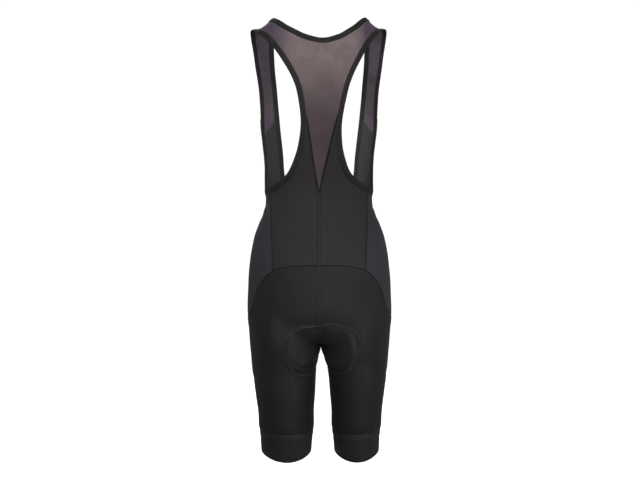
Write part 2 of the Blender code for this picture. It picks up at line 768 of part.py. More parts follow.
def cuff_sheet():
    """Leg gripper: closed rings from the cuff seam to the hem."""
    split = seat_seam(CUFF_TOP)
    shares = [share for share, in straight((0.0,), (split,), SEAT_COLUMNS, SEAT_SPREAD)][:-1]
    shares += [1 - share for share, in straight((0.0,), (1 - split,), FRONT_COLUMNS)][:0:-1]
    rows = [[(body(share, level), body_normal(share, level)) for level in CUFF_LEVELS]
            for share in shares]
    return Sheet().add(rows, closed=True)


def binding_sheet(edge, middle, seam):
    rows = []
    for trio in zip(edge, middle, seam):
        rows.append([(point, on_shoulder(point)[1]) for point in trio])
    return Sheet().add(rows, closed=True)


def binding_half(i):
    """Half thickness by point: the middle of each row of three is the fullest."""
    return (BINDING_MID if i % 3 == 1 else BINDING_EDGE) / 2


def neck_ring(half):
    """The whole loop from its left half."""
    return half + [point * FLIP for point in reversed(half[1:-1])]


def pad_reach(t, back):
    """Half width of the pad, t from 0 under the fork to 1 at either end."""
    if back:
        wing = (PAD_WING - PAD_WAIST) * smooth(PAD_WING_RISE * t)
        return PAD_WAIST + wing * (1 - PAD_WING_ROUND * t ** PAD_END_POWER)
    nose = (PAD_NOSE - PAD_WAIST) * smooth(t)
    return PAD_WAIST + nose - PAD_NOSE * PAD_NOSE_ROUND * t ** PAD_END_POWER


def pad_sheet():
    """Seat pad: rows across the rise seam, laid on the inside of the seat and the front."""
    points, faces = [], []
    for sheet in (seat_sheet(), front_sheet()):
        faces += [tuple(v + len(points) for v in face) for face in sheet.faces]
        points += [Vector(point) for point in sheet.points]
    cloth = BVHTree.FromPolygons(points, faces)
    half = []
    for k in range(-PAD_ROWS, PAD_ROWS + 1):
        t, back = abs(k) / PAD_ROWS, k >= 0
        down = math.pi / 2 * (1 - t) ** PAD_FAN
        level = FORK_TOP + (FORK - FORK_TOP) * math.sin(math.pi / 2 * (1 - PAD_SPAN * t))
        middle = body(0.0 if back else 1.0, level) * (0, 1, 1)
        way = np.array([math.cos(down), 0.0, -math.sin(down)])
        row = [over_seam(middle, t)]
        for j in range(1, PAD_COLUMNS + 1):
            guess = middle + way * pad_reach(t, back) * j / PAD_COLUMNS
            row.append(np.array(cloth.find_nearest(Vector(guess))[0]))
        half.append(row)
    level_normal = np.array([0.0, 0.0, -1.0])
    sheet = Sheet()
    sheet.add([[(point, level_normal) for point in row] for row in half])
    sheet.add([[(point * FLIP, level_normal) for point in reversed(row)] for row in half])
    return sheet.weld().even_normals()


def over_seam(point, t):
    """On the centre plane the pad stands off the seam's ridge, most under the fork."""
    up = np.array([0.0, -PAD_LEAN * math.copysign(t, point[1]), 1.0])
    return point * (0, 1, 1) + up * PAD_RIDGE * (1 - t) ** 2


def main():
    for old in list(bpy.data.objects):
        bpy.data.objects.remove(old, do_unlink=True)

    half_panel, half_cuff = PANEL / 2, CUFF_WALL / 2
    wall("mesh_yoke", yoke_sheet().draw_in(), "mesh", half_panel, half_panel)
    for name, make, fabric in (("back", back_sheet, "panel"), ("seat", seat_sheet, "seat"),
                               ("front", front_sheet, "panel")):
        sheet = make().draw_in()
        wall(name + "_left", sheet, fabric, half_panel, half_panel, side=1)
        wall(name + "_right", sheet, fabric, half_panel, half_panel, side=1, mirror=True)
    cuff = cuff_sheet().draw_in()
    wall("cuff_left", cuff, "cuff", half_cuff, half_cuff, side=1)
    wall("cuff_right", cuff, "cuff", half_cuff, half_cuff, side=1, mirror=True)

    arm = binding_sheet(ARM_EDGE, ARM_MIDDLE, ARM_SEAM).draw_in()
    wall("armhole_binding_left", arm, "binding", binding_half, binding_half)
    wall("armhole_binding_right", arm, "binding", binding_half, binding_half, mirror=True)
    neck = binding_sheet(neck_ring(NECK_EDGE), neck_ring(NECK_MIDDLE), neck_ring(NECK_SEAM))
    wall("neck_binding", neck.draw_in(), "binding", binding_half, binding_half)

    pad = pad_sheet()
    rim = {v for edge in pad.edges() for v in edge}
    first = PANEL / 2 + PAD_GAP
    wall("chamois_pad", pad, "pad", -first,
         lambda i: first + (PAD_EDGE if i in rim else PAD_MID))


main()
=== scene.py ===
"""Cycling bib shorts in their cloths, threads and pad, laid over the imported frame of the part.

Metres, +Z up, the wearer's back towards +Y and the wearer's left towards +X.  Every piece of
cloth is a wall worked out on one body form, which is the form of the solids it stands for.
"""
import math

import bmesh
import bpy
import numpy as np
from bpy.props import FloatProperty, FloatVectorProperty, PointerProperty
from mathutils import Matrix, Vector
from mathutils.bvhtree import BVHTree
from mathutils.kdtree import KDTree


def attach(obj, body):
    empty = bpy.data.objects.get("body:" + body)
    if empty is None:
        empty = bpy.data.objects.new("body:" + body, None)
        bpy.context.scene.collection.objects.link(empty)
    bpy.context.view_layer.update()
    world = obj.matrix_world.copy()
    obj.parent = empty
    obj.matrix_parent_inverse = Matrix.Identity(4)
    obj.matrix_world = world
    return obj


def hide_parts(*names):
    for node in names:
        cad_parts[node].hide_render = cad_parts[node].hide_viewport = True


bl_info = {
    "name": "Cycling bib shorts",
    "version": (1, 0, 0),
    "blender": (4, 5, 0),
    "location": "3D View > Sidebar > Bib shorts",
    "description": "Builds bib shorts from knit panels, bindings, cuffs, stitching and a seat pad",
    "category": "Add Mesh",
}

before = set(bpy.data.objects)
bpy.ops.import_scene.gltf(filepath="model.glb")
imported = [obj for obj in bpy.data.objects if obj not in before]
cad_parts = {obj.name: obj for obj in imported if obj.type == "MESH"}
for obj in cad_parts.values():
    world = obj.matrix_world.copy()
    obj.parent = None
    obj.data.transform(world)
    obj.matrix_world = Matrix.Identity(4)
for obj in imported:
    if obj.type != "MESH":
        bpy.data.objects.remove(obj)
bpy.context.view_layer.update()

# ---------------------------------------------------------------- the body form, as in the solids
CREST_DROP = 0.13         # the shoulder arc reaches full depth this far below the crest
SHOULDER_SLOPE = 0.554    # fall of the shoulder line for each metre outwards
NECK_POINT = 0.0885       # inner end of the shoulder line
SLOPE_ENDS = -0.16        # below this level the rings lie flat
SHOULDER_ENDS = -0.19     # and below this height points are addressed by ring
ROUNDNESS = 2.2           # superellipse power of the torso rings
FORK_TOP = -0.56          # the seat starts to part into two legs
FORK = -0.645             # underside of the crotch
FLANK_FORK = -0.672       # where the thighs are fully round at the sides
FLANK_RUN = 0.090         # the rings lie level again this far below the fork
FORK_FILL = 0.11          # extra depth half way through the fork
FLANK_SHARE = 0.25        # the rings are down at the flank's height from this share on
FLANK_EASE = 0.4          # share of a late drop in how the flank lies below the seam
LEG_EASE = (0.08, 0.10)   # leg columns drawn away from the inner leg, first and second wave
CUFF_TOP = -0.810
HEM = -0.845
HEM_DIP = 0.016           # the back of the hem hangs lower
HEM_LEAN = 0.07           # its lowest point lies this angle towards the inner leg
LEG_SWAY = -0.0055        # both inner legs hang a little towards the wearer's right
SWAY_TOP = -0.58
SWAY_RUN = 0.16
YOKE_SWAY = -0.0090       # and so does the top of the back
YOKE_SWAY_LOW = -0.35
YOKE_SWAY_RUN = 0.22
FRONT_SWAY_SHARE = 0.3    # the front straps move by this share of it
SHOULDER_SAG = 0.0055     # the mesh sags between its two bindings at the crest
SAG_FROM, SAG_TO = 0.0925, 0.1300      # distances out
SAG_REACH = 0.055         # and fades this far to the back and front
SAG_POWER = 1.2
FORK_HITCH = 0.0060       # the crotch is hitched up this much in the middle
HITCH_REACH = 0.032       # fading this far above and below the fork
HITCH_HALF = 0.035        # and this far out
SEAT_TOP_CENTRE = -0.4822
V_TIP = -0.349
PAD_PROUD = 0.0045        # how far the seat pad lifts the cloth outside
BINDING_WIDTH = 0.010
TILT_SPAN, HALVINGS = 0.08, 30         # how far and how finely a tilted ring's level is sought
TINY = 1e-12              # keeps a division off nought

# torso rings: level, half width, depth to the back, depth to the front
TORSO = (
    (0.000, 0.1494, 0.092, 0.088), (-0.140, 0.1414, 0.093, 0.090),
    (-0.200, 0.1294, 0.090, 0.089), (-0.270, 0.1134, 0.082, 0.086),
    (-0.336, 0.1056, 0.072, 0.084), (-0.357, 0.1040, 0.071, 0.084),
    (-0.381, 0.1088, 0.074, 0.085), (-0.404, 0.1179, 0.080, 0.087),
    (-0.428, 0.1266, 0.088, 0.089), (-0.452, 0.1319, 0.095, 0.090),
    (-0.475, 0.1354, 0.101, 0.090), (-0.523, 0.1391, 0.110, 0.088),
    (-0.570, 0.1404, 0.112, 0.086), (-0.600, 0.1390, 0.107, 0.084),
    (-0.645, 0.1357, 0.094, 0.080), (-0.672, 0.1332, 0.084, 0.077),
)
# leg rings: level, outer half width, inner half gap, depth to the back, depth to the front
LEG = (
    (-0.560, 0.1404, 0.0006, 0.104, 0.085), (-0.645, 0.1357, 0.0006, 0.089, 0.080),
    (-0.656, 0.1345, 0.0080, 0.086, 0.079), (-0.668, 0.1336, 0.0100, 0.083, 0.077),
    (-0.692, 0.1313, 0.0120, 0.078, 0.074), (-0.739, 0.1253, 0.0152, 0.070, 0.068),
    (-0.775, 0.1207, 0.0176, 0.064, 0.063), (-0.798, 0.1199, 0.0177, 0.061, 0.060),
    (-0.810, 0.1168, 0.0199, 0.058, 0.058), (-0.845, 0.1146, 0.0230, 0.055, 0.056),
)
# left armhole, edge of the cloth, from the shoulder crest down the back, under the arm and up
# the front strap: distance out, height, face
ARMHOLE = (
    (0.1336, -0.0240, "crest"), (0.1077, -0.0470, "back"), (0.0916, -0.0680, "back"),
    (0.0729, -0.0995, "back"), (0.0575, -0.1296, "back"), (0.0476, -0.1595, "back"),
    (0.0392, -0.2110, "back"), (0.0407, -0.2490, "back"), (0.0470, -0.2790, "back"),
    (0.0597, -0.3090, "back"), (0.0800, -0.3270, "back"), (0.0955, -0.3335, "back"),
    (0.1062, -0.3360, "side"), (0.1072, -0.3000, "front"), (0.1092, -0.2700, "front"),
    (0.1119, -0.2500, "front"), (0.1152, -0.2255, "front"), (0.1208, -0.1394, "front"),
    (0.1290, -0.0753, "front"),
)
ARM_YOKE, ARM_SIDE, ARM_STRAP = 6, 11, 16      # rows where a seam meets the armhole
# left half of the neckline, from the centre of the back to the centre of the front
NECK = (
    (0.0000, -0.0568, "back"), (0.0257, -0.0507, "back"), (0.0440, -0.0410, "back"),
    (0.0650, -0.0255, "back"), (0.0834, -0.0075, "back"), (0.0913, 0.0000, "crest"),
    (0.0915, -0.0690, "front"), (0.0868, -0.1320, "front"), (0.0813, -0.1925, "front"),
    (0.0735, -0.2635, "front"), (0.0700, -0.3050, "front"), (0.0610, -0.3480, "front"),
    (0.0390, -0.3860, "front"), (0.0000, -0.4050, "front"),
)
NECK_CREST, NECK_STRAP = 5, 8
# left edge of the mesh V: distance out, height
V_EDGE = ((0.0012, -0.347), (0.0165, -0.268), (0.0280, -0.2110))
V_BLUNT = 0.0012
# seam between seat and front, from its top corner to the cuff: level, share of the way round
SEAT_SEAM = (
    (-0.4912, 0.2067), (-0.4985, 0.2323), (-0.5102, 0.2675), (-0.5300, 0.3093),
    (-0.5519, 0.3357), (-0.5720, 0.3570), (-0.5880, 0.3850), (-0.6030, 0.4350),
    (-0.6250, 0.5000), (-0.6600, 0.5600), (-0.7200, 0.5950), (-0.8100, 0.6050),
)
# seat pad relief on one seat panel: distance out, height, half width, half height
PAD_RELIEF = (0.0345, -0.6420, 0.0345, 0.0470)
RELIEF_POWER = 2.6
RELIEF_RIM = 1.15
RELIEF_EASE = 0.75

# coarse rows and columns, each split FINE times
V_ROWS, YOKE_BACK_ROWS, ARM_LOWER_ROWS = 8, 12, 12
STRAP_FRONT_ROWS, STRAP_CREST_ROWS, NECK_BACK_ROWS, SIDE_ROWS = 12, 9, 10, 6
BACK_CENTRE_ROWS = ARM_LOWER_ROWS + SIDE_ROWS - V_ROWS
YOKE_CENTRE_ROWS = V_ROWS + YOKE_BACK_ROWS - NECK_BACK_ROWS
SEAT_LEVELS = (-0.4912, -0.5050, -0.5230, -0.5420)
FORK_STEPS = 9
LEG_LEVELS = (-0.650, -0.658, -0.670, -0.688, -0.712, -0.738, -0.763, -0.783, -0.798, -0.810)
CUFF_LEVELS = (-0.810, -0.8165, -0.828, -0.8385, -0.845)
YOKE_COLUMNS, BACK_COLUMNS, SEAT_COLUMNS, FRONT_COLUMNS = 4, 7, 16, 11
SEAT_SPREAD = 1.4
SEAT_TOP_FALL = 2.6       # the top seam runs level first and falls late, by this power
FINE = 6
SEAT_FINE = 8             # the seat carries the finest relief

FLIP = np.array([-1.0, 1.0, 1.0])


def through(rows, column):
    """A smooth function of level through one column of a table, without overshoot."""
    xs, ys = np.array(sorted((row[0], row[column]) for row in rows)).T
    rise = np.diff(ys) / np.diff(xs)
    slope = [rise[0]]
    for before, after in zip(rise, rise[1:]):
        slope.append(2 * before * after / (before + after) if before * after > 0 else 0.0)
    slope = np.array(slope + [rise[-1]])

    def at(level):
        level = np.clip(level, xs[0], xs[-1])
        i = np.clip(np.searchsorted(xs, level, side="right") - 1, 0, len(xs) - 2)
        span = xs[i + 1] - xs[i]
        t = (level - xs[i]) / span
        return ((1 + 2 * t) * (1 - t) ** 2 * ys[i] + t * (1 - t) ** 2 * span * slope[i]
                + t * t * (3 - 2 * t) * ys[i + 1] + t * t * (t - 1) * span * slope[i + 1])
    return at


torso_half, torso_back, torso_front = (through(TORSO, i) for i in (1, 2, 3))
leg_outer, leg_inner, leg_back, leg_front = (through(LEG, i) for i in (1, 2, 3, 4))
seat_seam = through(SEAT_SEAM, 1)


def smooth(t):
    t = np.clip(t, 0.0, 1.0)
    return t * t * (3 - 2 * t)


def place(x, y, z):
    return np.stack(np.broadcast_arrays(x, y, z), axis=-1).astype(float)


def crest_share(level):
    """Share of the full depth: a quarter circle from the crest down."""
    return np.sqrt(np.clip(1 - np.clip(1 + level / CREST_DROP, 0, None) ** 2, 0, None))


def shoulder_rise(out, level):
    return SHOULDER_SLOPE * (NECK_POINT - np.abs(out)) * smooth(1 - level / SLOPE_ENDS)


def level_of(out, height):
    """The level whose tilted ring passes through a height at a distance out."""
    low, high = height - TILT_SPAN, np.zeros_like(height, dtype=float)
    for _ in range(HALVINGS):
        mid = (low + high) / 2
        under = mid + shoulder_rise(out, mid) < height
        low, high = np.where(under, mid, low), np.where(under, high, mid)
    return (low + high) / 2


def narrowing(out, level):
    """Share of the centre depth left at a distance out."""
    share = np.minimum(np.abs(out) / torso_half(level), 1.0)
    return (1 - share ** ROUNDNESS) ** (1 / ROUNDNESS)


def over_shoulder(out, travel):
    """Points by distance out and travel over the shoulder: 0 at the crest, + down the back."""
    out, travel = np.broadcast_arrays(np.asarray(out, float), np.asarray(travel, float))
    angle = np.minimum(np.abs(travel) / CREST_DROP, math.pi / 2)
    level = (-CREST_DROP * (1 - np.cos(angle))
             - np.maximum(0.0, np.abs(travel) - CREST_DROP * math.pi / 2))
    depth = np.where(travel >= 0, torso_back(level), -torso_front(level))
    return place(out, depth * np.sin(angle) * narrowing(out, level),
                 level + shoulder_rise(out, level))


def torso_ring(share, level):
    """Points of the left half ring: share 0 at the centre of the back, 1 at the front."""
    across, along = np.sin(math.pi * share), np.cos(math.pi * share)
    depth = np.where(along >= 0, torso_back(level), torso_front(level))
    out = torso_half(level) * np.maximum(across, 0.0) ** (2 / ROUNDNESS)
    return place(out, np.copysign(depth * np.abs(along) ** (2 / ROUNDNESS), along), level)


def leg_ring(share, level, height):
    """Points of the left leg's ring; level sets the inner gap, height the rest."""
    half = 2 * np.minimum(share, 1 - share)
    first, second = LEG_EASE
    turned = half + first * np.sin(math.pi * half) - second * np.sin(2 * math.pi * half)
    turn = np.where(share <= 0.5, math.pi * turned, math.pi * (2 - turned))
    outer, inner = leg_outer(height), leg_inner(level)
    depth = np.where(np.sin(turn) >= 0, leg_back(height), leg_front(height))
    low = smooth((CUFF_TOP - level) / (CUFF_TOP - HEM))
    dip = HEM_DIP * low * (0.5 + 0.5 * np.sin(turn + HEM_LEAN)) ** 3
    return place((outer + inner) / 2 - (outer - inner) / 2 * np.cos(turn),
                 depth * np.sin(turn), height - dip)


def fork_turn(level):
    """0 above the fork to 1 at its underside, by angle along the rise seam's quarter ellipse."""
    return np.arcsin(np.clip((level - FORK_TOP) / (FORK - FORK_TOP), 0, 1)) / (math.pi / 2)


def flank_height(level):
    """Height of a ring at the side of the thigh, where it lies lower than at the seam."""
    turn = fork_turn(level)
    drop = (1 - FLANK_EASE) * turn + FLANK_EASE * turn ** 3
    below = level + (FLANK_FORK - FORK) * (1 - smooth((FORK - level) / FLANK_RUN))
    return np.where(level > FORK, FORK_TOP + (FLANK_FORK - FORK_TOP) * drop, below)


def plain_form(share, level):
    """The left half of the form without the pad, torso rings passing into leg rings."""
    flank = smooth(np.minimum(share, 1 - share) / FLANK_SHARE)
    height = level + (flank_height(level) - level) * flank
    parted = 1 - np.cos(math.pi / 2 * fork_turn(level))
    fill = 1 + FORK_FILL * 4 * parted * (1 - parted) * flank
    mixed = ((1 - parted)[..., None] * torso_ring(share, height)
             + parted[..., None] * leg_ring(share, level, height))
    mixed = mixed * place(1.0, fill, 1.0)
    return np.where((level >= FORK_TOP)[..., None], torso_ring(share, level), mixed)


def unit(ways):
    return ways / np.maximum(np.linalg.norm(ways, axis=-1, keepdims=True), TINY)


def outward(form, first, second, step=1e-4, low=0.0, high=1.0):
    """Unit normals of a form, from its slopes in its two addresses."""
    a = form(np.minimum(first + step, high), second) - form(np.maximum(first - step, low), second)
    b = form(first, second + step) - form(first, second - step)
    return unit(np.cross(b, a))


def body(share, level):
    """The garment's middle surface, left side, with the swell of the pad under the seat."""
    share, level = np.broadcast_arrays(np.asarray(share, float), np.asarray(level, float))
    points = plain_form(share, level)
    out, high, half_width, half_height = PAD_RELIEF
    reach = (np.abs((points[..., 0] - out) / half_width) ** RELIEF_POWER
             + np.abs((points[..., 2] - high) / half_height) ** RELIEF_POWER)
    lift = np.where(points[..., 1] > 0, PAD_PROUD * smooth((RELIEF_RIM - reach) / RELIEF_EASE), 0)
    return points + lift[..., None] * outward(plain_form, share, level)


def shoulder_normals(out, travel):
    return outward(over_shoulder, out, travel, low=-1.0) * -1


def sway(points):
    """The garment hangs a little to one side, sags at the shoulders and is hitched at the fork."""
    out, deep, height = points[..., 0], points[..., 1], points[..., 2]
    legs = LEG_SWAY * smooth((SWAY_TOP - height) / SWAY_RUN)
    legs = legs * np.maximum(0.0, 1 - (out / leg_outer(np.minimum(height, FORK_TOP))) ** 2)
    yoke = YOKE_SWAY * smooth((height - YOKE_SWAY_LOW) / YOKE_SWAY_RUN)
    yoke = yoke * np.maximum(0.0, 1 - (out / torso_half(height)) ** 2)
    yoke = yoke * np.clip(deep / torso_back(height), FRONT_SWAY_SHARE, 1.0)
    across = np.clip((np.abs(out) - SAG_FROM) / (SAG_TO - SAG_FROM), 0.0, 1.0)
    sag = SHOULDER_SAG * np.maximum(np.sin(math.pi * across), 0.0) ** SAG_POWER
    sag = sag * smooth(1 - np.abs(deep) / SAG_REACH) * (height > SHOULDER_ENDS)
    hitch = FORK_HITCH * smooth(1 - np.abs(height - FORK) / HITCH_REACH)
    hitch = hitch * smooth(1 - np.abs(out) / HITCH_HALF)
    return points + place(legs + yoke, 0.0, hitch - sag)


# ---------------------------------------------------------------- addresses and seams
def ring_address(points):
    """Share and level of points on the torso rings."""
    out, deep, level = points[..., 0], points[..., 1], points[..., 2]
    out = np.minimum(np.abs(out) / torso_half(level), 1.0)
    depth = np.where(deep >= 0, torso_back(level), torso_front(level))
    along = np.minimum(np.abs(deep) / depth, 1.0)
    half = ROUNDNESS / 2
    share = np.arctan2(out ** half, np.copysign(along ** half, deep)) / math.pi
    return np.stack([share, level], axis=-1)


def shoulder_address(points):
    """Distance out and travel of points over the shoulders."""
    out, deep, height = points[..., 0], points[..., 1], points[..., 2]
    level = level_of(out, height)
    full = np.where(deep >= 0, torso_back(level), torso_front(level))
    full = np.maximum(full * narrowing(out, level), TINY)
    reach = np.minimum(np.abs(deep) / full, 1.0)
    angle = np.arctan2(reach, np.maximum(0.0, 1 + level / CREST_DROP))
    travel = CREST_DROP * angle + np.maximum(0.0, -CREST_DROP - level)
    return np.stack([out, np.copysign(travel, deep)], axis=-1)


def on_form(points):
    """The form's points beside any points above the hips, and its normals there."""
    turned = np.where(points[..., :1] < 0, FLIP, 1.0)
    points = points * turned
    high = (points[..., 2] > SHOULDER_ENDS)[..., None]
    out, travel = np.moveaxis(shoulder_address(points), -1, 0)
    share, level = np.moveaxis(ring_address(points), -1, 0)
    found = np.where(high, over_shoulder(out, travel), torso_ring(share, level))
    normal = np.where(high, shoulder_normals(out, travel), outward(torso_ring, share, level))
    return found * turned, normal * turned


def edge_point(out, height, face):
    """A point of the form by distance out and height, on the face named."""
    if face == "crest":
        return over_shoulder(out, 0.0)
    if face == "side":
        return torso_ring(np.array(0.5), height)
    level = level_of(out, height)
    depth = torso_back(level) if face == "back" else -torso_front(level)
    return place(out, depth * crest_share(level) * narrowing(out, level), height)


def bend(a, b, c, d, steps):
    """Even steps of a smooth curve from b towards c, between their neighbours a and d."""
    t = np.arange(steps)[:, None] / steps
    return 0.5 * (2 * b + (c - a) * t + (2 * a - 5 * b + 4 * c - d) * t * t
                  + (3 * b - a - 3 * c + d) * t ** 3)


def along(path):
    """Distance from the start at each point of a path."""
    return np.concatenate([[0], np.cumsum(np.linalg.norm(np.diff(path, axis=0), axis=1))])


def spaced(path, count, carried=None):
    """A path as count even steps, both ends kept, or what it carries at those steps."""
    run = along(path)
    wanted = np.linspace(0, run[-1], count + 1)
    rows = path if carried is None else carried
    return np.stack([np.interp(wanted, run, rows[:, axis]) for axis in range(3)], axis=1)


DENSE = 40                # points of an edge's curve between two rows of its table


def edge_loop(table, closed, *stretches):
    """A smooth edge through a table's points, in even steps for each stretch of its rows."""
    points = np.array([edge_point(*row) for row in table])
    if closed:
        first, last = points[-1:], points[:2]
    else:
        first, last = points[1:2] * FLIP, points[-2:-1] * FLIP
    ends = np.concatenate([first, points, last])
    dense = [bend(*ends[i:i + 4], DENSE) for i in range(len(ends) - 3)]
    dense = np.concatenate(dense + [ends[-2:-1]])
    rows = [spaced(dense[a * DENSE:b * DENSE + 1], count * FINE)[:-1] for a, b, count in stretches]
    return np.concatenate(rows if closed else rows + [dense[-1:]])


def inward_of(loop, closed):
    """Where a bound edge lies on the form, its normals and the ways in from the edge."""
    if closed:
        tangent = np.roll(loop, -1, axis=0) - np.roll(loop, 1, axis=0)
    else:
        longer = np.concatenate([loop[1:2] * FLIP, loop, loop[-2:-1] * FLIP])
        tangent = longer[2:] - longer[:-2]
    here, normal = on_form(loop)
    return here, normal, unit(np.cross(normal, tangent))


def seam_side(loop, closed):
    """The line where a binding ends and the panel goes on."""
    here, _, inward = inward_of(loop, closed)
    return on_form(here + inward * BINDING_WIDTH)[0]


ARM_LOOP = edge_loop(ARMHOLE, True, (0, ARM_YOKE, YOKE_BACK_ROWS),
                     (ARM_YOKE, ARM_SIDE, ARM_LOWER_ROWS),
                     (ARM_SIDE, ARM_STRAP, STRAP_FRONT_ROWS),
                     (ARM_STRAP, len(ARMHOLE), STRAP_CREST_ROWS))
NECK_LOOP = edge_loop(NECK, False, (0, NECK_CREST, NECK_BACK_ROWS),
                      (NECK_CREST, NECK_STRAP, STRAP_CREST_ROWS),
                      (NECK_STRAP, len(NECK) - 1, STRAP_FRONT_ROWS))
ARM_SEAM, NECK_SEAM = seam_side(ARM_LOOP, True), seam_side(NECK_LOOP, False)
NECK_SEAM[[0, -1], 0] = 0.0
AT_YOKE = YOKE_BACK_ROWS * FINE
AT_SIDE = AT_YOKE + ARM_LOWER_ROWS * FINE
AT_STRAP = AT_SIDE + STRAP_FRONT_ROWS * FINE
AT_NECK_STRAP = (NECK_BACK_ROWS + STRAP_CREST_ROWS) * FINE


def straight(first, last, count):
    """Addresses along a straight stretch."""
    return np.linspace(first, last, count + 1)


def refined(levels, fine):
    """A list of levels with each step split evenly."""
    return np.concatenate([np.linspace(a, b, fine, endpoint=False)
                           for a, b in zip(levels, levels[1:])] + [levels[-1:]])


def lower_levels(fine):
    """Levels of the rows from the top of the seat to the cuff."""
    fork = [math.sin(math.pi / 2 * k / ((FORK_STEPS - 1) * fine))
            for k in range((FORK_STEPS - 1) * fine + 1)]
    fork = FORK_TOP + (FORK - FORK_TOP) * np.array(fork)
    above = refined(list(SEAT_LEVELS) + [FORK_TOP], fine)[:-1]
    return np.concatenate([above, fork, refined([FORK] + list(LEG_LEVELS), fine)[1:]])


def v_edge_points():
    """The V's left edge from its tip up, on the back, with the blunt end of the back panel."""
    across = through([(height, out) for out, height in V_EDGE], 1)
    heights = np.linspace(V_EDGE[0][1], ARM_SEAM[AT_YOKE][2], V_ROWS * FINE + 1)
    outs = across(heights)
    outs[-1] = ARM_SEAM[AT_YOKE][0] - V_BLUNT
    return np.array([edge_point(out, height, "back") for out, height in zip(outs, heights)])


V_POINTS = v_edge_points()
SIDE_CORNER = ring_address(ARM_SEAM[AT_SIDE])
SEAT_CORNER = np.array([seat_seam(SEAT_LEVELS[0]), SEAT_LEVELS[0]])


def side_back_seam(fine):
    """From the seat's corner up to the armhole, nearly plumb on the back."""
    out_low = torso_ring(*SEAT_CORNER)[0]
    t = np.linspace(0, 1, SIDE_ROWS * fine + 1)
    level = SEAT_CORNER[1] + (SIDE_CORNER[1] - SEAT_CORNER[1]) * t
    out = out_low + (ARM_SEAM[AT_SIDE][0] - out_low) * t
    share = np.arcsin((out / torso_half(level)) ** (ROUNDNESS / 2)) / math.pi
    return np.stack([share, level], axis=1)


def seat_centre_level(level):
    """The seat's top seam rises to the centre; lower rows lie level."""
    fade = smooth((level - FORK_TOP) / (SEAT_LEVELS[0] - FORK_TOP))
    return level + (SEAT_TOP_CENTRE - SEAT_LEVELS[0]) * fade


def ruled(inner, outer, columns, spread=1.0, falls=1.0):
    """Grid of addresses between two matched lists.

    spread over 1 gathers them near inner, and a row's fall over 1 makes its level change late.
    """
    w = (np.linspace(0, 1, columns + 1) ** spread)[None, :]
    powers = np.stack(np.broadcast_arrays(w, w ** np.reshape(falls, (-1, 1))), axis=-1)
    return inner[:, None, :] * (1 - powers) + outer[:, None, :] * powers


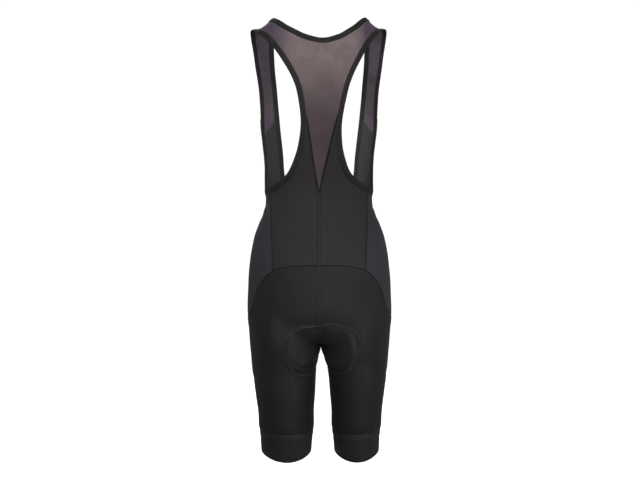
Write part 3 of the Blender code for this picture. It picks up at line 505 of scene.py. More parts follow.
# ---------------------------------------------------------------- creases
# soft troughs (height below 0) and ridges on the sides of the garment, all in mm: height, half
# width, and the points of the path, each across and up
CREASES = {
    "back": (
        (0.9, 1.9, (-1, -595), (28.1, -598.2), (45.3, -605.9), (58.2, -614.3), (65.6, -627),
         (66.9, -640.2), (64, -658), (56.8, -673.8), (44.2, -688.4), (29.2, -693.5),
         (11.9, -691.5)),
        (0.9, 1.9, (-5.1, -592.7), (-23.2, -591.6), (-44.4, -597.5), (-61.5, -604),
         (-72.2, -619.2), (-74.2, -632.1), (-72.3, -649.7), (-62.7, -667.7), (-51.2, -682),
         (-36.4, -688.2), (-19.8, -687.9)),
        (-3.4, 2.9, (60, -655), (41.7, -672.2), (29, -679.3), (16.1, -677.2), (8.1, -669)),
        (1.6, 3.2, (54, -669), (40, -679.5), (29, -686.8), (15, -685)),
        (-3.8, 2.9, (-13.2, -664), (-23.4, -676.2), (-34.1, -681.2), (-44.6, -679.8), (-56, -670)),
        (-2.4, 2.4, (-16, -676), (-26, -685), (-40, -686)),
        (0.8, 3, (44, -629), (25.6, -631.7), (9.3, -635.4)),
        (0.8, 3, (-18, -629.5), (-34, -626.9), (-52, -624.5)),
        (-0.8, 4, (44, -636), (40, -650), (30, -664)),
        (-0.8, 4, (-50, -633), (-47, -648), (-36, -662)),
        (-2.6, 2.4, (8.9, -629.3), (4, -633), (1.5, -640)),
        (-2.6, 2.4, (-3.6, -626.2), (-10, -627.6), (-19, -638)),
        (-2.4, 2.2, (-4, -633), (-11, -637), (-17, -647)),
        (0.35, 1.2, (85, -554.5), (69.4, -554.8), (54.5, -555.3)),
        (0.35, 1.2, (-50, -555.3), (-71.6, -554.9), (-91, -556.3)),
        (-0.9, 3, (-39.5, -355.5), (-64, -357.2)),
        (0.7, 2.8, (-35, -362.5), (-60, -363.2)),
        (-0.8, 2.6, (-25, -369.6), (-66.2, -370.2)),
        (0.7, 2.6, (-29, -375.5), (-57, -376.5)),
        (-0.7, 2.8, (-30, -381.2), (-56.8, -382)),
        (-0.6, 3, (-27, -392.4), (-56, -393)),
        (-0.5, 4, (70, -370), (40, -373), (18, -372)),
        (-0.4, 4.5, (62, -390), (35, -393), (12, -390)),
        (-0.5, 6, (85, -415), (60, -423), (30, -426)),
        (-0.5, 6, (-82, -412), (-55, -420), (-25, -422)),
        (-0.9, 7, (95, -760), (70, -768), (40, -766)),
        (-0.7, 6, (-88, -745), (-65, -754), (-35, -750)),
        (-0.8, 5, (108, -795), (80, -801), (40, -800)),
        (-0.8, 5, (-105, -794), (-75, -800), (-42, -799)),
    ),
    "front": (
        (-1.5, 4.5, (85, -575), (60, -600), (38, -625), (15, -642)),
        (-1.3, 4.5, (-90, -580), (-62, -602), (-35, -628), (-16, -640)),
        (0.9, 6, (82, -562), (56, -588), (32, -612)),
        (0.8, 6, (-78, -564), (-52, -586), (-30, -606)),
        (-1, 4, (48, -660), (70, -668), (95, -664)),
        (-1.1, 4.5, (-42, -656), (-68, -669), (-90, -668)),
        (-0.9, 4.5, (65, -460), (35, -468), (5, -466)),
        (0.7, 4.5, (55, -470), (25, -478), (0, -475)),
        (-0.8, 5, (-70, -448), (-45, -458), (-18, -459)),
        (-0.8, 4, (-60, -472), (-35, -482), (-5, -483)),
        (-0.7, 6, (88, -505), (55, -516), (20, -515)),
        (-0.9, 4, (92, -362), (74, -372), (56, -386)),
        (-0.9, 4, (-91, -368), (-70, -380), (-50, -396)),
        (0.6, 5, (85, -382), (65, -392), (45, -408)),
        (-1, 6, (100, -730), (75, -740), (45, -735)),
        (-0.9, 6, (-98, -750), (-75, -758), (-42, -754)),
        (-0.9, 5, (106, -794), (78, -800), (38, -798)),
        (-0.8, 5, (-108, -795), (-80, -801), (-45, -799)),
        (-0.8, 5, (83, -230), (98, -236), (108, -233)),
        (-0.7, 5, (-82, -250), (-94, -257), (-106, -254)),
    ),
    "left": (
        (-1, 5, (50, -360), (10, -368), (-40, -364)),
        (-0.8, 5, (45, -385), (0, -390), (-35, -388)),
        (-0.7, 7, (50, -695), (15, -705), (-25, -702)),
    ),
    "right": (
        (-1, 5, (48, -364), (15, -372), (-35, -369)),
        (-0.7, 5, (35, -388), (-10, -394), (-45, -390)),
        (-0.8, 7, (45, -685), (5, -695), (-30, -693)),
    ),
}
# the axis that each side is looked at along, and from which end
LOOKS = {"back": (1, 1), "front": (1, -1), "left": (0, 1), "right": (0, -1)}
REACH = 3.0               # a crease is felt this many half widths away
CREASE_STEPS = 6
CREASE_END, CREASE_TAPER = 0.02, 0.6   # its fade stops this short of its ends; its power
CREASE_WAVER, CREASE_TURNS = 0.25, 9   # how much its height wavers along it, and how fast
CAST_FROM = 0.4
SLACK = 0.0003            # the cloth's own unevenness, by waves (along x, y and z) and shifts
SLACK_WAVES = (((61, 23, 37), 0.0), ((-29, 53, 71), 1.7), ((17, -67, 97), 4.1))


def on_side(tree, side, path):
    """A path of (across, height) laid on one side of the garment."""
    axis, sign = LOOKS[side]
    laid = []
    for across, height in path:
        start, way = Vector((across, across, height)), Vector((0, 0, 0))
        start[axis], way[axis] = sign * CAST_FROM, -sign
        hit = tree.ray_cast(start, way)[0] or tree.find_nearest(start)[0]
        laid.append(np.array(hit))
    return np.array(laid)


def curve_through(points):
    """A smooth curve through the points of a path."""
    if len(points) < 3:
        return points
    ends = np.concatenate([[2 * points[0] - points[1]], points, [2 * points[-1] - points[-2]]])
    dense = [bend(*ends[i:i + 4], CREASE_STEPS) for i in range(len(points) - 1)]
    return np.concatenate(dense + [points[-1:]])


def near_path(points, path):
    """Distance from each point to a path, and the share of the path's length there."""
    best = np.full(len(points), np.inf)
    share = np.zeros(len(points))
    run = along(path)
    for a, b, start, end in zip(path, path[1:], run, run[1:]):
        span = b - a
        t = np.clip((points - a) @ span / max(span @ span, TINY), 0, 1)
        gap = np.linalg.norm(points - a - t[:, None] * span, axis=1)
        closer = gap < best
        best = np.where(closer, gap, best)
        share = np.where(closer, (start + t * (end - start)) / run[-1], share)
    return best, share


class Cloth:
    """Where the creases lie, and how far they move any point of the cloth."""
    laid = []
    tree = None
    sides = []

    @classmethod
    def lay(cls, tree, sides):
        cls.tree = tree
        cls.sides = sides
        cls.laid = [(curve_through(on_side(tree, side, np.array(path) / 1000)), height / 1000,
                     width / 1000)
                    for side, creases in CREASES.items() for height, width, *path in creases]

    @classmethod
    def lift(cls, points):
        """Height of the creases and of the cloth's own slight unevenness at each point."""
        flat = points.reshape(-1, 3)
        strength = bpy.context.scene.bib_shorts_sizes.crease_strength
        waves = [np.sin(flat @ way + shift) for way, shift in SLACK_WAVES]
        lift = SLACK * sum(waves) / len(waves)
        for number, (path, height, width) in enumerate(cls.laid):
            reach = REACH * width
            near = np.all((flat > path.min(0) - reach) & (flat < path.max(0) + reach), axis=1)
            where = np.flatnonzero(near)
            if not len(where):
                continue
            gap, share = near_path(flat[where], path)
            taper = np.sin(math.pi * np.clip(share, CREASE_END, 1 - CREASE_END)) ** CREASE_TAPER
            uneven = 1 + CREASE_WAVER * np.sin(CREASE_TURNS * share + number)
            lift[where] += strength * height * taper * uneven * np.exp(-(gap / width) ** 2)
        return lift.reshape(points.shape[:-1])


# ---------------------------------------------------------------- meshes
SHARP_WALL, SHARP_TUBE, SHARP_DOME, SHARP_THREAD = 50, 60, 70, 80      # degrees


def quads_of(rows, columns, closed_rows=False, closed_columns=False):
    """Corner numbers of a grid's faces, and the same without wrapping round, for its UVs."""
    i = np.arange(rows if closed_rows else rows - 1)[:, None]
    j = np.arange(columns if closed_columns else columns - 1)[None, :]
    corners = ((0, 0), (0, 1), (1, 1), (1, 0))
    wrapped = np.stack([((i + a) % rows) * columns + (j + b) % columns for a, b in corners], -1)
    plain = np.stack([(i + a) * (columns + 1) + (j + b) for a, b in corners], -1)
    return wrapped.reshape(-1, 4), plain.reshape(-1, 4)


def put(name, points, faces, uvs, material, sharp=SHARP_WALL):
    """A new object from points, lists of corners, and one UV for each of those corners."""
    mesh = bpy.data.meshes.new(name)
    mesh.from_pydata(np.asarray(points).tolist(), [], faces)
    layer = mesh.uv_layers.new(name="cloth")
    layer.data.foreach_set("uv", np.asarray(uvs, np.float32).reshape(-1))
    mesh.polygons.foreach_set("use_smooth", np.ones(len(faces), bool))
    mesh.set_sharp_from_angle(angle=math.radians(sharp))
    mesh.materials.append(material)
    piece = bpy.data.objects.new(name, mesh)
    bpy.context.scene.collection.objects.link(piece)
    return piece


def carried_on(uv):
    """A grid of UVs with its next row and column, for the corners that wrap round."""
    uv = np.concatenate([uv, 2 * uv[-1:] - uv[-2:-1]])
    return np.concatenate([uv, 2 * uv[:, -1:] - uv[:, -2:-1]], axis=1)


def turned_out(points, faces, normals):
    """True where a grid's faces turn against its normals."""
    a, b, c = (points[faces[:, k]] for k in (0, 1, 2))
    return float(np.sum(np.cross(b - a, c - a) * normals[faces[:, 0]])) < 0


def wall(name, middle, normals, uv, proud, sunk, material, closed=False, mirror=False):
    """A grid of middle points closed into a wall: proud outwards and sunk inwards of them.

    uv is a grid of the same shape; a closed grid joins its last row to its first.
    """
    rows, columns = middle.shape[:2]
    if mirror:
        middle, normals = middle * FLIP, normals * FLIP
    middle = sway(middle)
    rise = Cloth.lift(middle)[..., None]
    proud, sunk = (np.broadcast_to(side, (rows, columns))[..., None] for side in (proud, sunk))
    outer = (middle + normals * (rise + proud)).reshape(-1, 3)
    inner = (middle + normals * (rise - sunk)).reshape(-1, 3)
    count = rows * columns
    points = np.concatenate([outer, inner])
    quads, plain = quads_of(rows, columns, closed)
    corner_uv = carried_on(uv).reshape(-1, 2)[plain]
    number = np.arange(count).reshape(rows, columns)
    if closed:
        number = np.concatenate([number, number[:1]])
    edges = [(number[0, :-1], number[0, 1:]), (number[:-1, -1], number[1:, -1]),
             (number[-1, 1:], number[-1, :-1]), (number[1:, 0], number[:-1, 0])]
    a, b = (np.concatenate(ends) for ends in zip(*(edges[1::2] if closed else edges)))
    rims = np.stack([b, a, a + count, b + count], axis=1)
    rim_uv = uv.reshape(-1, 2)[np.stack([b, a, a, b], axis=1)]
    faces = np.concatenate([quads, quads[:, ::-1] + count, rims])
    uvs = np.concatenate([corner_uv, corner_uv[:, ::-1], rim_uv])
    if turned_out(outer, quads, normals.reshape(-1, 3)):
        faces, uvs = faces[:, ::-1], uvs[:, ::-1]
    piece = put(name, points, faces.tolist(), uvs, material)
    # the inner wall takes the paler reverse: partly the knit's plain back, partly painted light
    mark_reverse_with_painted_light(piece, np.repeat([0.0, 1.0], count))
    return piece


def mark_reverse_with_painted_light(piece, shares):
    """How far each point takes the paler reverse of its cloth, partly its plain back and partly
    painted light.
    """
    reverse = piece.data.attributes.new("reverse", "FLOAT", "POINT")
    reverse.data.foreach_set("value", np.asarray(shares, np.float32))


def ring_tube(name, rings, uv_along, uv_round, material, closed=True):
    """A tube from rings of points, closed on itself round a loop or capped at its two ends."""
    rows, columns = rings.shape[:2]
    points = rings.reshape(-1, 3)
    faces, plain = quads_of(rows, columns, closed, closed_columns=True)
    uvs = np.stack(np.meshgrid(uv_along, uv_round, indexing="ij"), axis=-1)
    uvs = carried_on(uvs).reshape(-1, 2)[plain]
    ways = (rings - rings.mean(axis=1, keepdims=True)).reshape(-1, 3)
    over = turned_out(points, faces, ways)
    if over:
        faces, uvs = faces[:, ::-1], uvs[:, ::-1]
    faces, uvs = faces.tolist(), uvs.reshape(-1, 2)
    if not closed:
        first, last = list(range(columns)), list(range((rows - 1) * columns, rows * columns))
        caps = [first, last[::-1]] if over else [first[::-1], last]
        faces += caps
        uvs = np.concatenate([uvs] + [points[cap][:, :2] for cap in caps])
    return put(name, points, faces, uvs, material, SHARP_TUBE)


def strewn(template, faces, centres, ways, ups, size):
    """Copies of a small shape, each turned to its own way and up, as points and faces."""
    ways = unit(ways)
    sides = unit(np.cross(ups, ways))
    ups = np.cross(ways, sides)
    x, y, z = (template[None, :, k, None] for k in (0, 1, 2))
    sized = np.asarray(size)[:, None, None]
    points = (centres[:, None] + x * sized * ways[:, None]
              + y * sides[:, None] + z * ups[:, None])
    shift = np.arange(len(centres))[:, None, None] * len(template)
    return points.reshape(-1, 3), (faces[None] + shift).reshape(-1, faces.shape[1])


# ---------------------------------------------------------------- materials
# looks of the knits: label, colour, the near colour it drifts to, wale and course in mm,
# roughness, sheen, relief in mm, and gloss, which is 0.5 where the yarn's own reflection is whole
# and less where its loops hide some of it
KNITS = {
    # nylon and elastane tricot, calendered: smooth face, fine upright wales, a soft satin sheen.
    # Its wales are 0.35 mm apart, drawn at 1.1 mm so that they show.
    "panel": ("nylon_elastane_tricot", "panel", "panel_tint", 1.1, 1.6, 0.68, 0.04, 0.12, 0.5),
    # the same tricot for the sides and the front straps, a shade paler: painted sheen and light on
    # these turned faces
    "side": ("nylon_elastane_tricot_side_painted_light", "side", "side_tint", 1.1, 1.6, 0.68, 0.04, 0.12, 0.5),
    # denser tricot of the same yarn for the seat and legs: darker, its loops deep between yarns
    "seat": ("dense_compression_tricot", "seat", "seat_tint", 1.1, 1.6, 0.64, 0.03, 0.10, 0.42),
    # knitted gripper band: ribs round the leg 0.8 mm apart, drawn at 1.5 mm, matt
    "cuff": ("ribbed_elastic_gripper_band", "cuff", "seat_tint",
             1.2, 1.5, 0.62, 0.03, 0.16, 0.5),
    # folded elastic binding: woven with fine cords along it, flat black with little sheen
    "binding": ("folded_elastic_binding", "binding", "binding_tint",
                1.4, 1.0, 0.66, 0.02, 0.14, 0.5),
    # core-spun polyester sewing thread, waxy and slightly brighter than the cloth
    "thread": ("polyester_thread", "thread", "binding_tint", 0.6, 0.6, 0.48, 0.02, 0.04, 0.5),
    # brushed microfibre over moulded foam: soft nap, no gloss
    "pad": ("brushed_microfibre_chamois", "pad", "pad_tint", 2.2, 2.2, 0.92, 0.10, 0.20, 0.5),
}
# seams in the cloth itself, two edges butted or lapped under thread: label, colour and section;
# painted shade darkens their gaps where the edges meet, and the ridge colours are painted highlight
SEAM_KNITS = {
    "seam": ("flatlock_seam", "side", "flat"),
    "centre_seam": ("flatlock_seam_of_the_centre", "panel", "centre"),
    "seat_seam": ("flatlock_seam_of_the_seat", "seat", "centre"),
    "lapped_seam": ("lapped_seam", "ridge_highlight", "lapped"),
    "cuff_seam": ("lapped_cuff_seam", "cuff_ridge_highlight", "cuff"),
    "pad_line": ("raised_pad_outline", "ridge_highlight", "pad_line"),
}
SEAM_LOOKS = (1.3, 1.3, 0.62, 0.03, 0.12, 0.5)      # from wale to gloss, as in KNITS
NOISE_RANGE = (0.3, 0.7)  # nearly all of a noise lies between these
DRIFT = (14.0, 3.0)       # scale and detail of the drift between a knit's two colours
FUZZ, FUZZ_HEIGHT = (900.0, 2.0), 1.2
LOOP_PAINTED_SHADE = (0.80, 1.10) # painted shade between a knit's loops, and painted highlight on them
GAP_GLOSS = 0.22          # gloss within a seam's gap, lowered with its painted shade
GAP_EDGE = 1.3            # the gap's painted shade fades out at this many half widths
KNIT_BUMP, SHEEN_ROUGHNESS = 0.6, 0.45
YARN_IOR = 1.53           # nylon and polyester
MESH_PITCH = 2.4          # mm for a whole wave of threads, which is two holes
MESH_HOLE = (0.15, 0.85)  # from the thread's edge to the middle of a hole
MESH_HEIGHTS = (-0.22, -0.07)          # slack in the V below, drawn wide at the shoulders above; the threads are painted lighter upwards, painted light
MESH_SIDES = (0.048, 0.090)            # distances out between which it slackens again
MESH_PAINTED_LIGHT_SIDES = (0.050, 0.092)            # and takes its paler, bluer side colour, painted light
MESH_FRONT = (-0.02, 0.05)             # from the front straps to the back
MESH_OPEN = (0.05, 0.25)  # share of light let through a hole in the V, and across the shoulders
MESH_OPEN_SIDE = 0.15     # part of that left at the shoulders' outer ends
MESH_OPEN_FRONT = 0.06    # the front straps hang slack, so their holes stay small
MESH_DRIFT = (26.0, 4.0, 0.6)          # scale, detail and roughness of the mesh's unevenness
MESH_UNEVEN, MESH_SHADE = (0.82, 1.18), (0.86, 1.12)   # of its holes, and of its threads
MESH_BUMP, MESH_RELIEF = 0.5, 0.15     # relief in mm
MESH_ROUGHNESS, MESH_SHEEN, MESH_SHEEN_ROUGHNESS = 0.70, 0.05, 0.5
SILICONE_ROUGHNESS, SILICONE_IOR = 0.35, 1.41
SILICONE_GRAIN, SILICONE_BUMP, SILICONE_RELIEF = 300.0, 0.2, 0.1
# a Mix node's sockets for each kind of value: first, last and result
MIX_SOCKETS = {"RGBA": (6, 7, 2), "FLOAT": (2, 3, 0)}


def linear(code):
    """Linear colour from an sRGB hex code, by the curve that defines sRGB."""
    parts = [int(code[i:i + 2], 16) / 255 for i in (1, 3, 5)]
    return tuple(c / 12.92 if c <= 0.04045 else ((c + 0.055) / 1.055) ** 2.4 for c in parts)


def plug(tree, node, inputs):
    """Gives each of a node's inputs a value or another node's output."""
    for key, value in inputs.items():
        if isinstance(value, bpy.types.NodeSocket):
            tree.links.new(value, node.inputs[key])
        else:
            node.inputs[key].default_value = value


def add(tree, kind, inputs, **settings):
    """A new node with its inputs and settings."""
    node = tree.nodes.new("ShaderNode" + kind)
    for key, value in settings.items():
        setattr(node, key, value)
    plug(tree, node, inputs)
    return node


def calc(tree, operation, *values):
    return add(tree, "Math", dict(enumerate(values)), operation=operation).outputs[0]


def ramp(tree, value, ends, results=(0.0, 1.0), kind="SMOOTHSTEP"):
    """A value taken from one pair of ends to another."""
    inputs = dict(zip(("Value", "From Min", "From Max", "To Min", "To Max"),
                      (value, *ends, *results)))
    return add(tree, "MapRange", inputs, interpolation_type=kind).outputs[0]


def mix(tree, share, first, last, kind, **settings):
    a, b, result = MIX_SOCKETS[kind]
    inputs = {0: share, a: first, b: last}
    return add(tree, "Mix", inputs, data_type=kind, **settings).outputs[result]


def blend(tree, share, first, last, kind="MIX"):
    """A colour between two, or their product; each is a colour or another node's output."""
    first, last = (colour if isinstance(colour, bpy.types.NodeSocket) else (*colour, 1)
                   for colour in (first, last))
    return mix(tree, share, first, last, "RGBA", blend_type=kind)


def between(tree, share, first, last):
    """A number between two."""
    return mix(tree, share, first, last, "FLOAT")


def noise(tree, where, scale, detail=2.0, roughness=0.5):
    return add(tree, "TexNoise", {"Vector": where, "Scale": scale, "Detail": detail,
                                  "Roughness": roughness}).outputs["Fac"]


def bump(tree, height, strength, relief):
    """Normals for a height whose full step is the relief, in mm."""
    return add(tree, "Bump", {"Strength": strength, "Distance": relief / 1000,
                              "Height": height}).outputs[0]


def in_object(tree):
    """The place on the object itself, in metres."""
    return add(tree, "TexCoord", {}).outputs["Object"]


def split(tree, vector):
    return add(tree, "SeparateXYZ", {0: vector}).outputs[:]


def ripples(tree, coordinate, pitch):
    """Waves from -1 to 1 along one coordinate in metres, one to each pitch in mm."""
    return calc(tree, "SINE", calc(tree, "MULTIPLY", coordinate, 2 * math.pi / pitch * 1000))


def start_material(name):
    material = bpy.data.materials.new(name)
    material.use_nodes = True
    return material, material.node_tree, material.node_tree.nodes["Principled BSDF"]


def knit(name, colour, tint, wale, course, roughness, sheen, relief, gloss, gap=None):
    """A knit cloth, its looks as in KNITS.

    gap gives the middle, the distance out of it and the half width of the painted shade along a
    seam's band, in metres.
    """
    material, tree, shader = start_material(name)
    colours = bpy.context.scene.bib_shorts_colours
    uv = add(tree, "UVMap", {}, uv_map="cloth").outputs[0]
    across, up, _ = split(tree, uv)
    wales = ripples(tree, across, wale)
    loops = calc(tree, "MULTIPLY_ADD", wales, ripples(tree, up, course), wales)
    drift = ramp(tree, noise(tree, uv, *DRIFT), NOISE_RANGE, kind="LINEAR")
    face = blend(tree, drift, colour, tint)
    # inner faces turn to the paler reverse colour: partly the knit's plain back, partly painted
    # light
    reverse = add(tree, "Attribute", {}, attribute_name="reverse").outputs["Fac"]
    face = blend(tree, reverse, face, colours.reverse)
    # painted shade between the loops and painted highlight on them, multiplied into the colour
    shade = ramp(tree, loops, (-2.0, 2.0), LOOP_PAINTED_SHADE, "LINEAR")
    face = blend(tree, 1.0, face, shade, "MULTIPLY")
    # painted shade: the colour goes near black and the gloss drops in a seam's gaps
    if gap:
        middle, out, half = gap
        away = up
        for less in (middle, out):
            away = calc(tree, "ABSOLUTE", calc(tree, "SUBTRACT", away, less))
        inside = ramp(tree, away, (half, half * GAP_EDGE), (1.0, 0.0), "LINEAR")
        face = blend(tree, inside, face, colours.gap)
        shine = ramp(tree, inside, (0.0, 1.0), (gloss, GAP_GLOSS), "LINEAR")
        plug(tree, shader, {"Specular IOR Level": shine})
    height = calc(tree, "MULTIPLY_ADD", noise(tree, uv, *FUZZ), FUZZ_HEIGHT, loops)
    shader.inputs["Specular IOR Level"].default_value = gloss
    plug(tree, shader, {"Base Color": face, "Normal": bump(tree, height, KNIT_BUMP, relief),
                        "Roughness": roughness, "Sheen Weight": sheen,
                        "Sheen Roughness": SHEEN_ROUGHNESS, "IOR": YARN_IOR})
    return material


def power_mesh(colours):
    """Sheer warp-knit mesh: diamond holes 1.2 mm apart, more open where it is stretched."""
    material, tree, shader = start_material("sheer_polyester_power_mesh")
    uv = add(tree, "UVMap", {}, uv_map="cloth").outputs[0]
    across, up, _ = split(tree, uv)
    weave = calc(tree, "MULTIPLY", ripples(tree, across, MESH_PITCH),
                 ripples(tree, up, MESH_PITCH))
    hole = ramp(tree, calc(tree, "ABSOLUTE", weave), MESH_HOLE)
    x, y, z = split(tree, in_object(tree))
    out = calc(tree, "ABSOLUTE", calc(tree, "SUBTRACT", x, YOKE_SWAY))
    front = ramp(tree, y, MESH_FRONT)
    opened = calc(tree, "MULTIPLY", ramp(tree, z, MESH_HEIGHTS, MESH_OPEN),
                  ramp(tree, out, MESH_SIDES, (1.0, MESH_OPEN_SIDE)))
    opened = between(tree, front, MESH_OPEN_FRONT, opened)
    drift = noise(tree, uv, *MESH_DRIFT)
    uneven = ramp(tree, drift, NOISE_RANGE, MESH_UNEVEN)
    clear = calc(tree, "MULTIPLY", calc(tree, "MULTIPLY", hole, opened), uneven)
    alpha = calc(tree, "SUBTRACT", 1.0, clear)
    # painted light: the threads lighten towards the top of the yoke
    threads = blend(tree, ramp(tree, z, MESH_HEIGHTS), colours.mesh, colours.mesh_top_painted_light)
    # painted light: paler, bluer threads at the shoulders' outer ends and on the front straps
    painted_light_side = between(tree, front, 1.0, ramp(tree, out, MESH_PAINTED_LIGHT_SIDES))
    threads = blend(tree, painted_light_side, threads, colours.mesh_side_painted_light)
    shade = ramp(tree, drift, NOISE_RANGE, MESH_SHADE)
    plug(tree, shader, {"Base Color": blend(tree, 1.0, threads, shade, "MULTIPLY"),
                        "Alpha": alpha, "Normal": bump(tree, alpha, MESH_BUMP, MESH_RELIEF),
                        "Roughness": MESH_ROUGHNESS, "Sheen Weight": MESH_SHEEN,
                        "Sheen Roughness": MESH_SHEEN_ROUGHNESS, "IOR": YARN_IOR})
    return material


def silicone(colours):
    """Printed silicone: clear, tacky dots with a soft gloss."""
    material, tree, shader = start_material("printed_silicone_gripper")
    grain = noise(tree, in_object(tree), SILICONE_GRAIN)
    plug(tree, shader, {"Base Color": (*colours.silicone, 1), "Roughness": SILICONE_ROUGHNESS,
                        "IOR": SILICONE_IOR,
                        "Normal": bump(tree, grain, SILICONE_BUMP, SILICONE_RELIEF)})
    return material


def make_materials():
    colours = bpy.context.scene.bib_shorts_colours
    made = {name: knit(label, getattr(colours, face), getattr(colours, tint), *looks)
            for name, (label, face, tint, *looks) in KNITS.items()}
    for name, (label, face, kind) in SEAM_KNITS.items():
        colour = getattr(colours, face)
        made[name] = knit(label, colour, colour, *SEAM_LOOKS, gap=painted_shade_gaps_of(kind))
    made["mesh"] = power_mesh(colours)
    made["silicone"] = silicone(colours)
    return made


class Finish:
    """The materials, made once by the first operator that needs them."""
    made = {}

    @classmethod
    def of(cls, name):
        if not cls.made:
            cls.made.update(make_materials())
        return cls.made[name]


# ---------------------------------------------------------------- sheets of the garment
HALF_GIRTH = 0.40         # metres of cloth from the centre of the back to that of the front
COARSE = 2                # steps to a row in the surface that creases are laid on


def body_grid(inner, outer, columns, spread=1.0, falls=1.0):
    """Points, normals and UVs of a sheet ruled between two lists of addresses."""
    addresses = ruled(inner, outer, columns, spread, falls)
    share, level = addresses[..., 0], addresses[..., 1]
    uv = np.stack([share * HALF_GIRTH, level], axis=-1)
    return body(share, level), outward(body, share, level), uv


def back_grid(fine):
    centre = straight((0.0, SEAT_TOP_CENTRE), (0.0, V_TIP), BACK_CENTRE_ROWS * FINE - 1)
    inner = np.concatenate([centre, ring_address(V_POINTS)])
    outer = np.concatenate([side_back_seam(FINE),
                            ring_address(ARM_SEAM[AT_YOKE:AT_SIDE][::-1])])
    ease = np.maximum(0.0, 1 - np.arange(len(inner)) / (SIDE_ROWS * FINE))
    return body_grid(inner, outer, BACK_COLUMNS * fine, falls=1 + (SEAT_TOP_FALL - 1) * ease)


def seat_grid(fine):
    levels = lower_levels(fine)
    inner = np.stack([np.zeros_like(levels), seat_centre_level(levels)], axis=1)
    outer = np.stack([seat_seam(levels), levels], axis=1)
    return body_grid(inner, outer, SEAT_COLUMNS * fine, SEAT_SPREAD, SEAT_TOP_FALL)


def strap_seam(columns):
    """Slanting seam across the front strap, from its inner edge to its outer edge."""
    inner = shoulder_address(NECK_SEAM[AT_NECK_STRAP])
    outer = shoulder_address(ARM_SEAM[AT_STRAP])
    out, travel = straight(inner, outer, columns).T
    return over_shoulder(out, travel)


def front_grid(fine):
    """Side, front and front leg in one sheet, up to the seam across the strap."""
    lower = lower_levels(fine)[::-1]
    side = side_back_seam(fine)[1:]
    outer = np.concatenate([np.stack([seat_seam(lower), lower], axis=1), side])
    inner = np.concatenate([np.stack([np.ones_like(lower), lower], axis=1),
                            straight((1.0, SEAT_CORNER[1]), (1.0, NECK_SEAM[-1][2]),
                                     SIDE_ROWS * fine)[1:]])
    step = FINE // fine
    up = np.arange(1, STRAP_FRONT_ROWS * fine + 1) * step
    outer = np.concatenate([outer, ring_address(ARM_SEAM[AT_SIDE + up])])
    inner = np.concatenate([inner, ring_address(NECK_SEAM[len(NECK_SEAM) - 1 - up])])
    points, normals, uv = body_grid(inner, outer, FRONT_COLUMNS * fine)
    shift = strap_seam(FRONT_COLUMNS * fine) - points[-1]
    for k in range(fine + 1):
        points[-1 - k] += shift * (1 - k / fine) ** 2
    return points, normals, uv


def yoke_grid():
    """Left half of the mesh yoke, from the tip of the V over the shoulder to the strap seam."""
    tip, top = shoulder_address(V_POINTS[0]), shoulder_address(NECK_SEAM[0])
    outer = np.concatenate([V_POINTS, ARM_SEAM[:AT_YOKE][::-1], ARM_SEAM[AT_STRAP:][::-1]])
    inner = np.concatenate([straight((0.0, tip[1]), (0.0, top[1]), YOKE_CENTRE_ROWS * FINE),
                            shoulder_address(NECK_SEAM[1:AT_NECK_STRAP + 1])])
    outer = shoulder_address(outer)
    addresses = ruled(inner, outer[:len(inner)], YOKE_COLUMNS * FINE)
    out, travel = addresses[..., 0], addresses[..., 1]
    return over_shoulder(out, travel), shoulder_normals(out, travel), addresses


def cuff_grid(fine):
    split = seat_seam(CUFF_TOP)
    back = split * (np.arange(SEAT_COLUMNS * fine) / (SEAT_COLUMNS * fine)) ** SEAT_SPREAD
    front = np.linspace(split, 1, FRONT_COLUMNS * fine, endpoint=False)
    share = np.concatenate([back, front])[:, None]
    level = refined(list(CUFF_LEVELS), fine)[None, :]
    uv = np.stack(np.broadcast_arrays(share * HALF_GIRTH, level), axis=-1)
    return body(share, level), outward(body, share, level), uv


def lay_creases():
    """The plain garment as one surface, for laying creases and the pad on it."""
    points, faces, sides = [], [], []
    for side in (1.0, FLIP):
        start, ways = len(points), []
        for grid, normals, _ in (back_grid(COARSE), seat_grid(COARSE),
                                  front_grid(COARSE), cuff_grid(COARSE)):
            quads, _ = quads_of(*grid.shape[:2])
            faces += (quads + len(points)).tolist()
            points += sway(grid.reshape(-1, 3) * side).tolist()
            ways.append(normals.reshape(-1, 3) * side)
        finder = KDTree(len(points) - start)
        for number, point in enumerate(points[start:]):
            finder.insert(point, number)
        finder.balance()
        sides.append((finder, np.concatenate(ways)))
    Cloth.lay(BVHTree.FromPolygons(points, faces), sides)


def on_cloth(points, normals, proud, mirror=False):
    """Points of a seam moved onto the cloth as it lies, proud of its middle surface."""
    if mirror:
        points, normals = points * FLIP, normals * FLIP
    points = sway(points)
    return points + normals * (Cloth.lift(points)[..., None] + proud), normals


# ---------------------------------------------------------------- stitches
STITCH_RADIUS = 0.00030   # thread is 0.25 mm thick, drawn a little fuller so that it shows
STITCH_BODY, STITCH_TIP = 0.6, 0.3     # share that is full, and width left at its tips
STITCH_SIDES = 4
STITCH_SHOWS = 0.86       # share of each step that its thread shows for
CROSS_STEP = 0.75         # the slanting threads' step, by that of the rows beside them
FACING = 0.9              # a face whose normal is this near an axis faces along it
DOME_SEGMENTS, DOME_RINGS = 8, 6
SORT_DIGITS = 5           # decimals that tell two of a small shape's points apart


def modelled():
    """Points and triangles of the small shape just modelled in edit mode; its object goes.

    The operators leave both in no fixed order, so they are sorted here.
    """
    bpy.ops.object.mode_set(mode="OBJECT")
    mesh = bpy.context.object.data
    points = np.array([vertex.co[:] for vertex in mesh.vertices])
    order = np.lexsort(np.round(points, SORT_DIGITS).T)
    number, faces = np.argsort(order), []
    for face in mesh.polygons:
        corners = number[list(face.vertices)]
        corners = np.roll(corners, -corners.argmin()).tolist()
        faces += [(corners[0], a, b) for a, b in zip(corners[1:], corners[2:])]
    bpy.ops.object.delete()
    return points[order], np.array(sorted(faces))


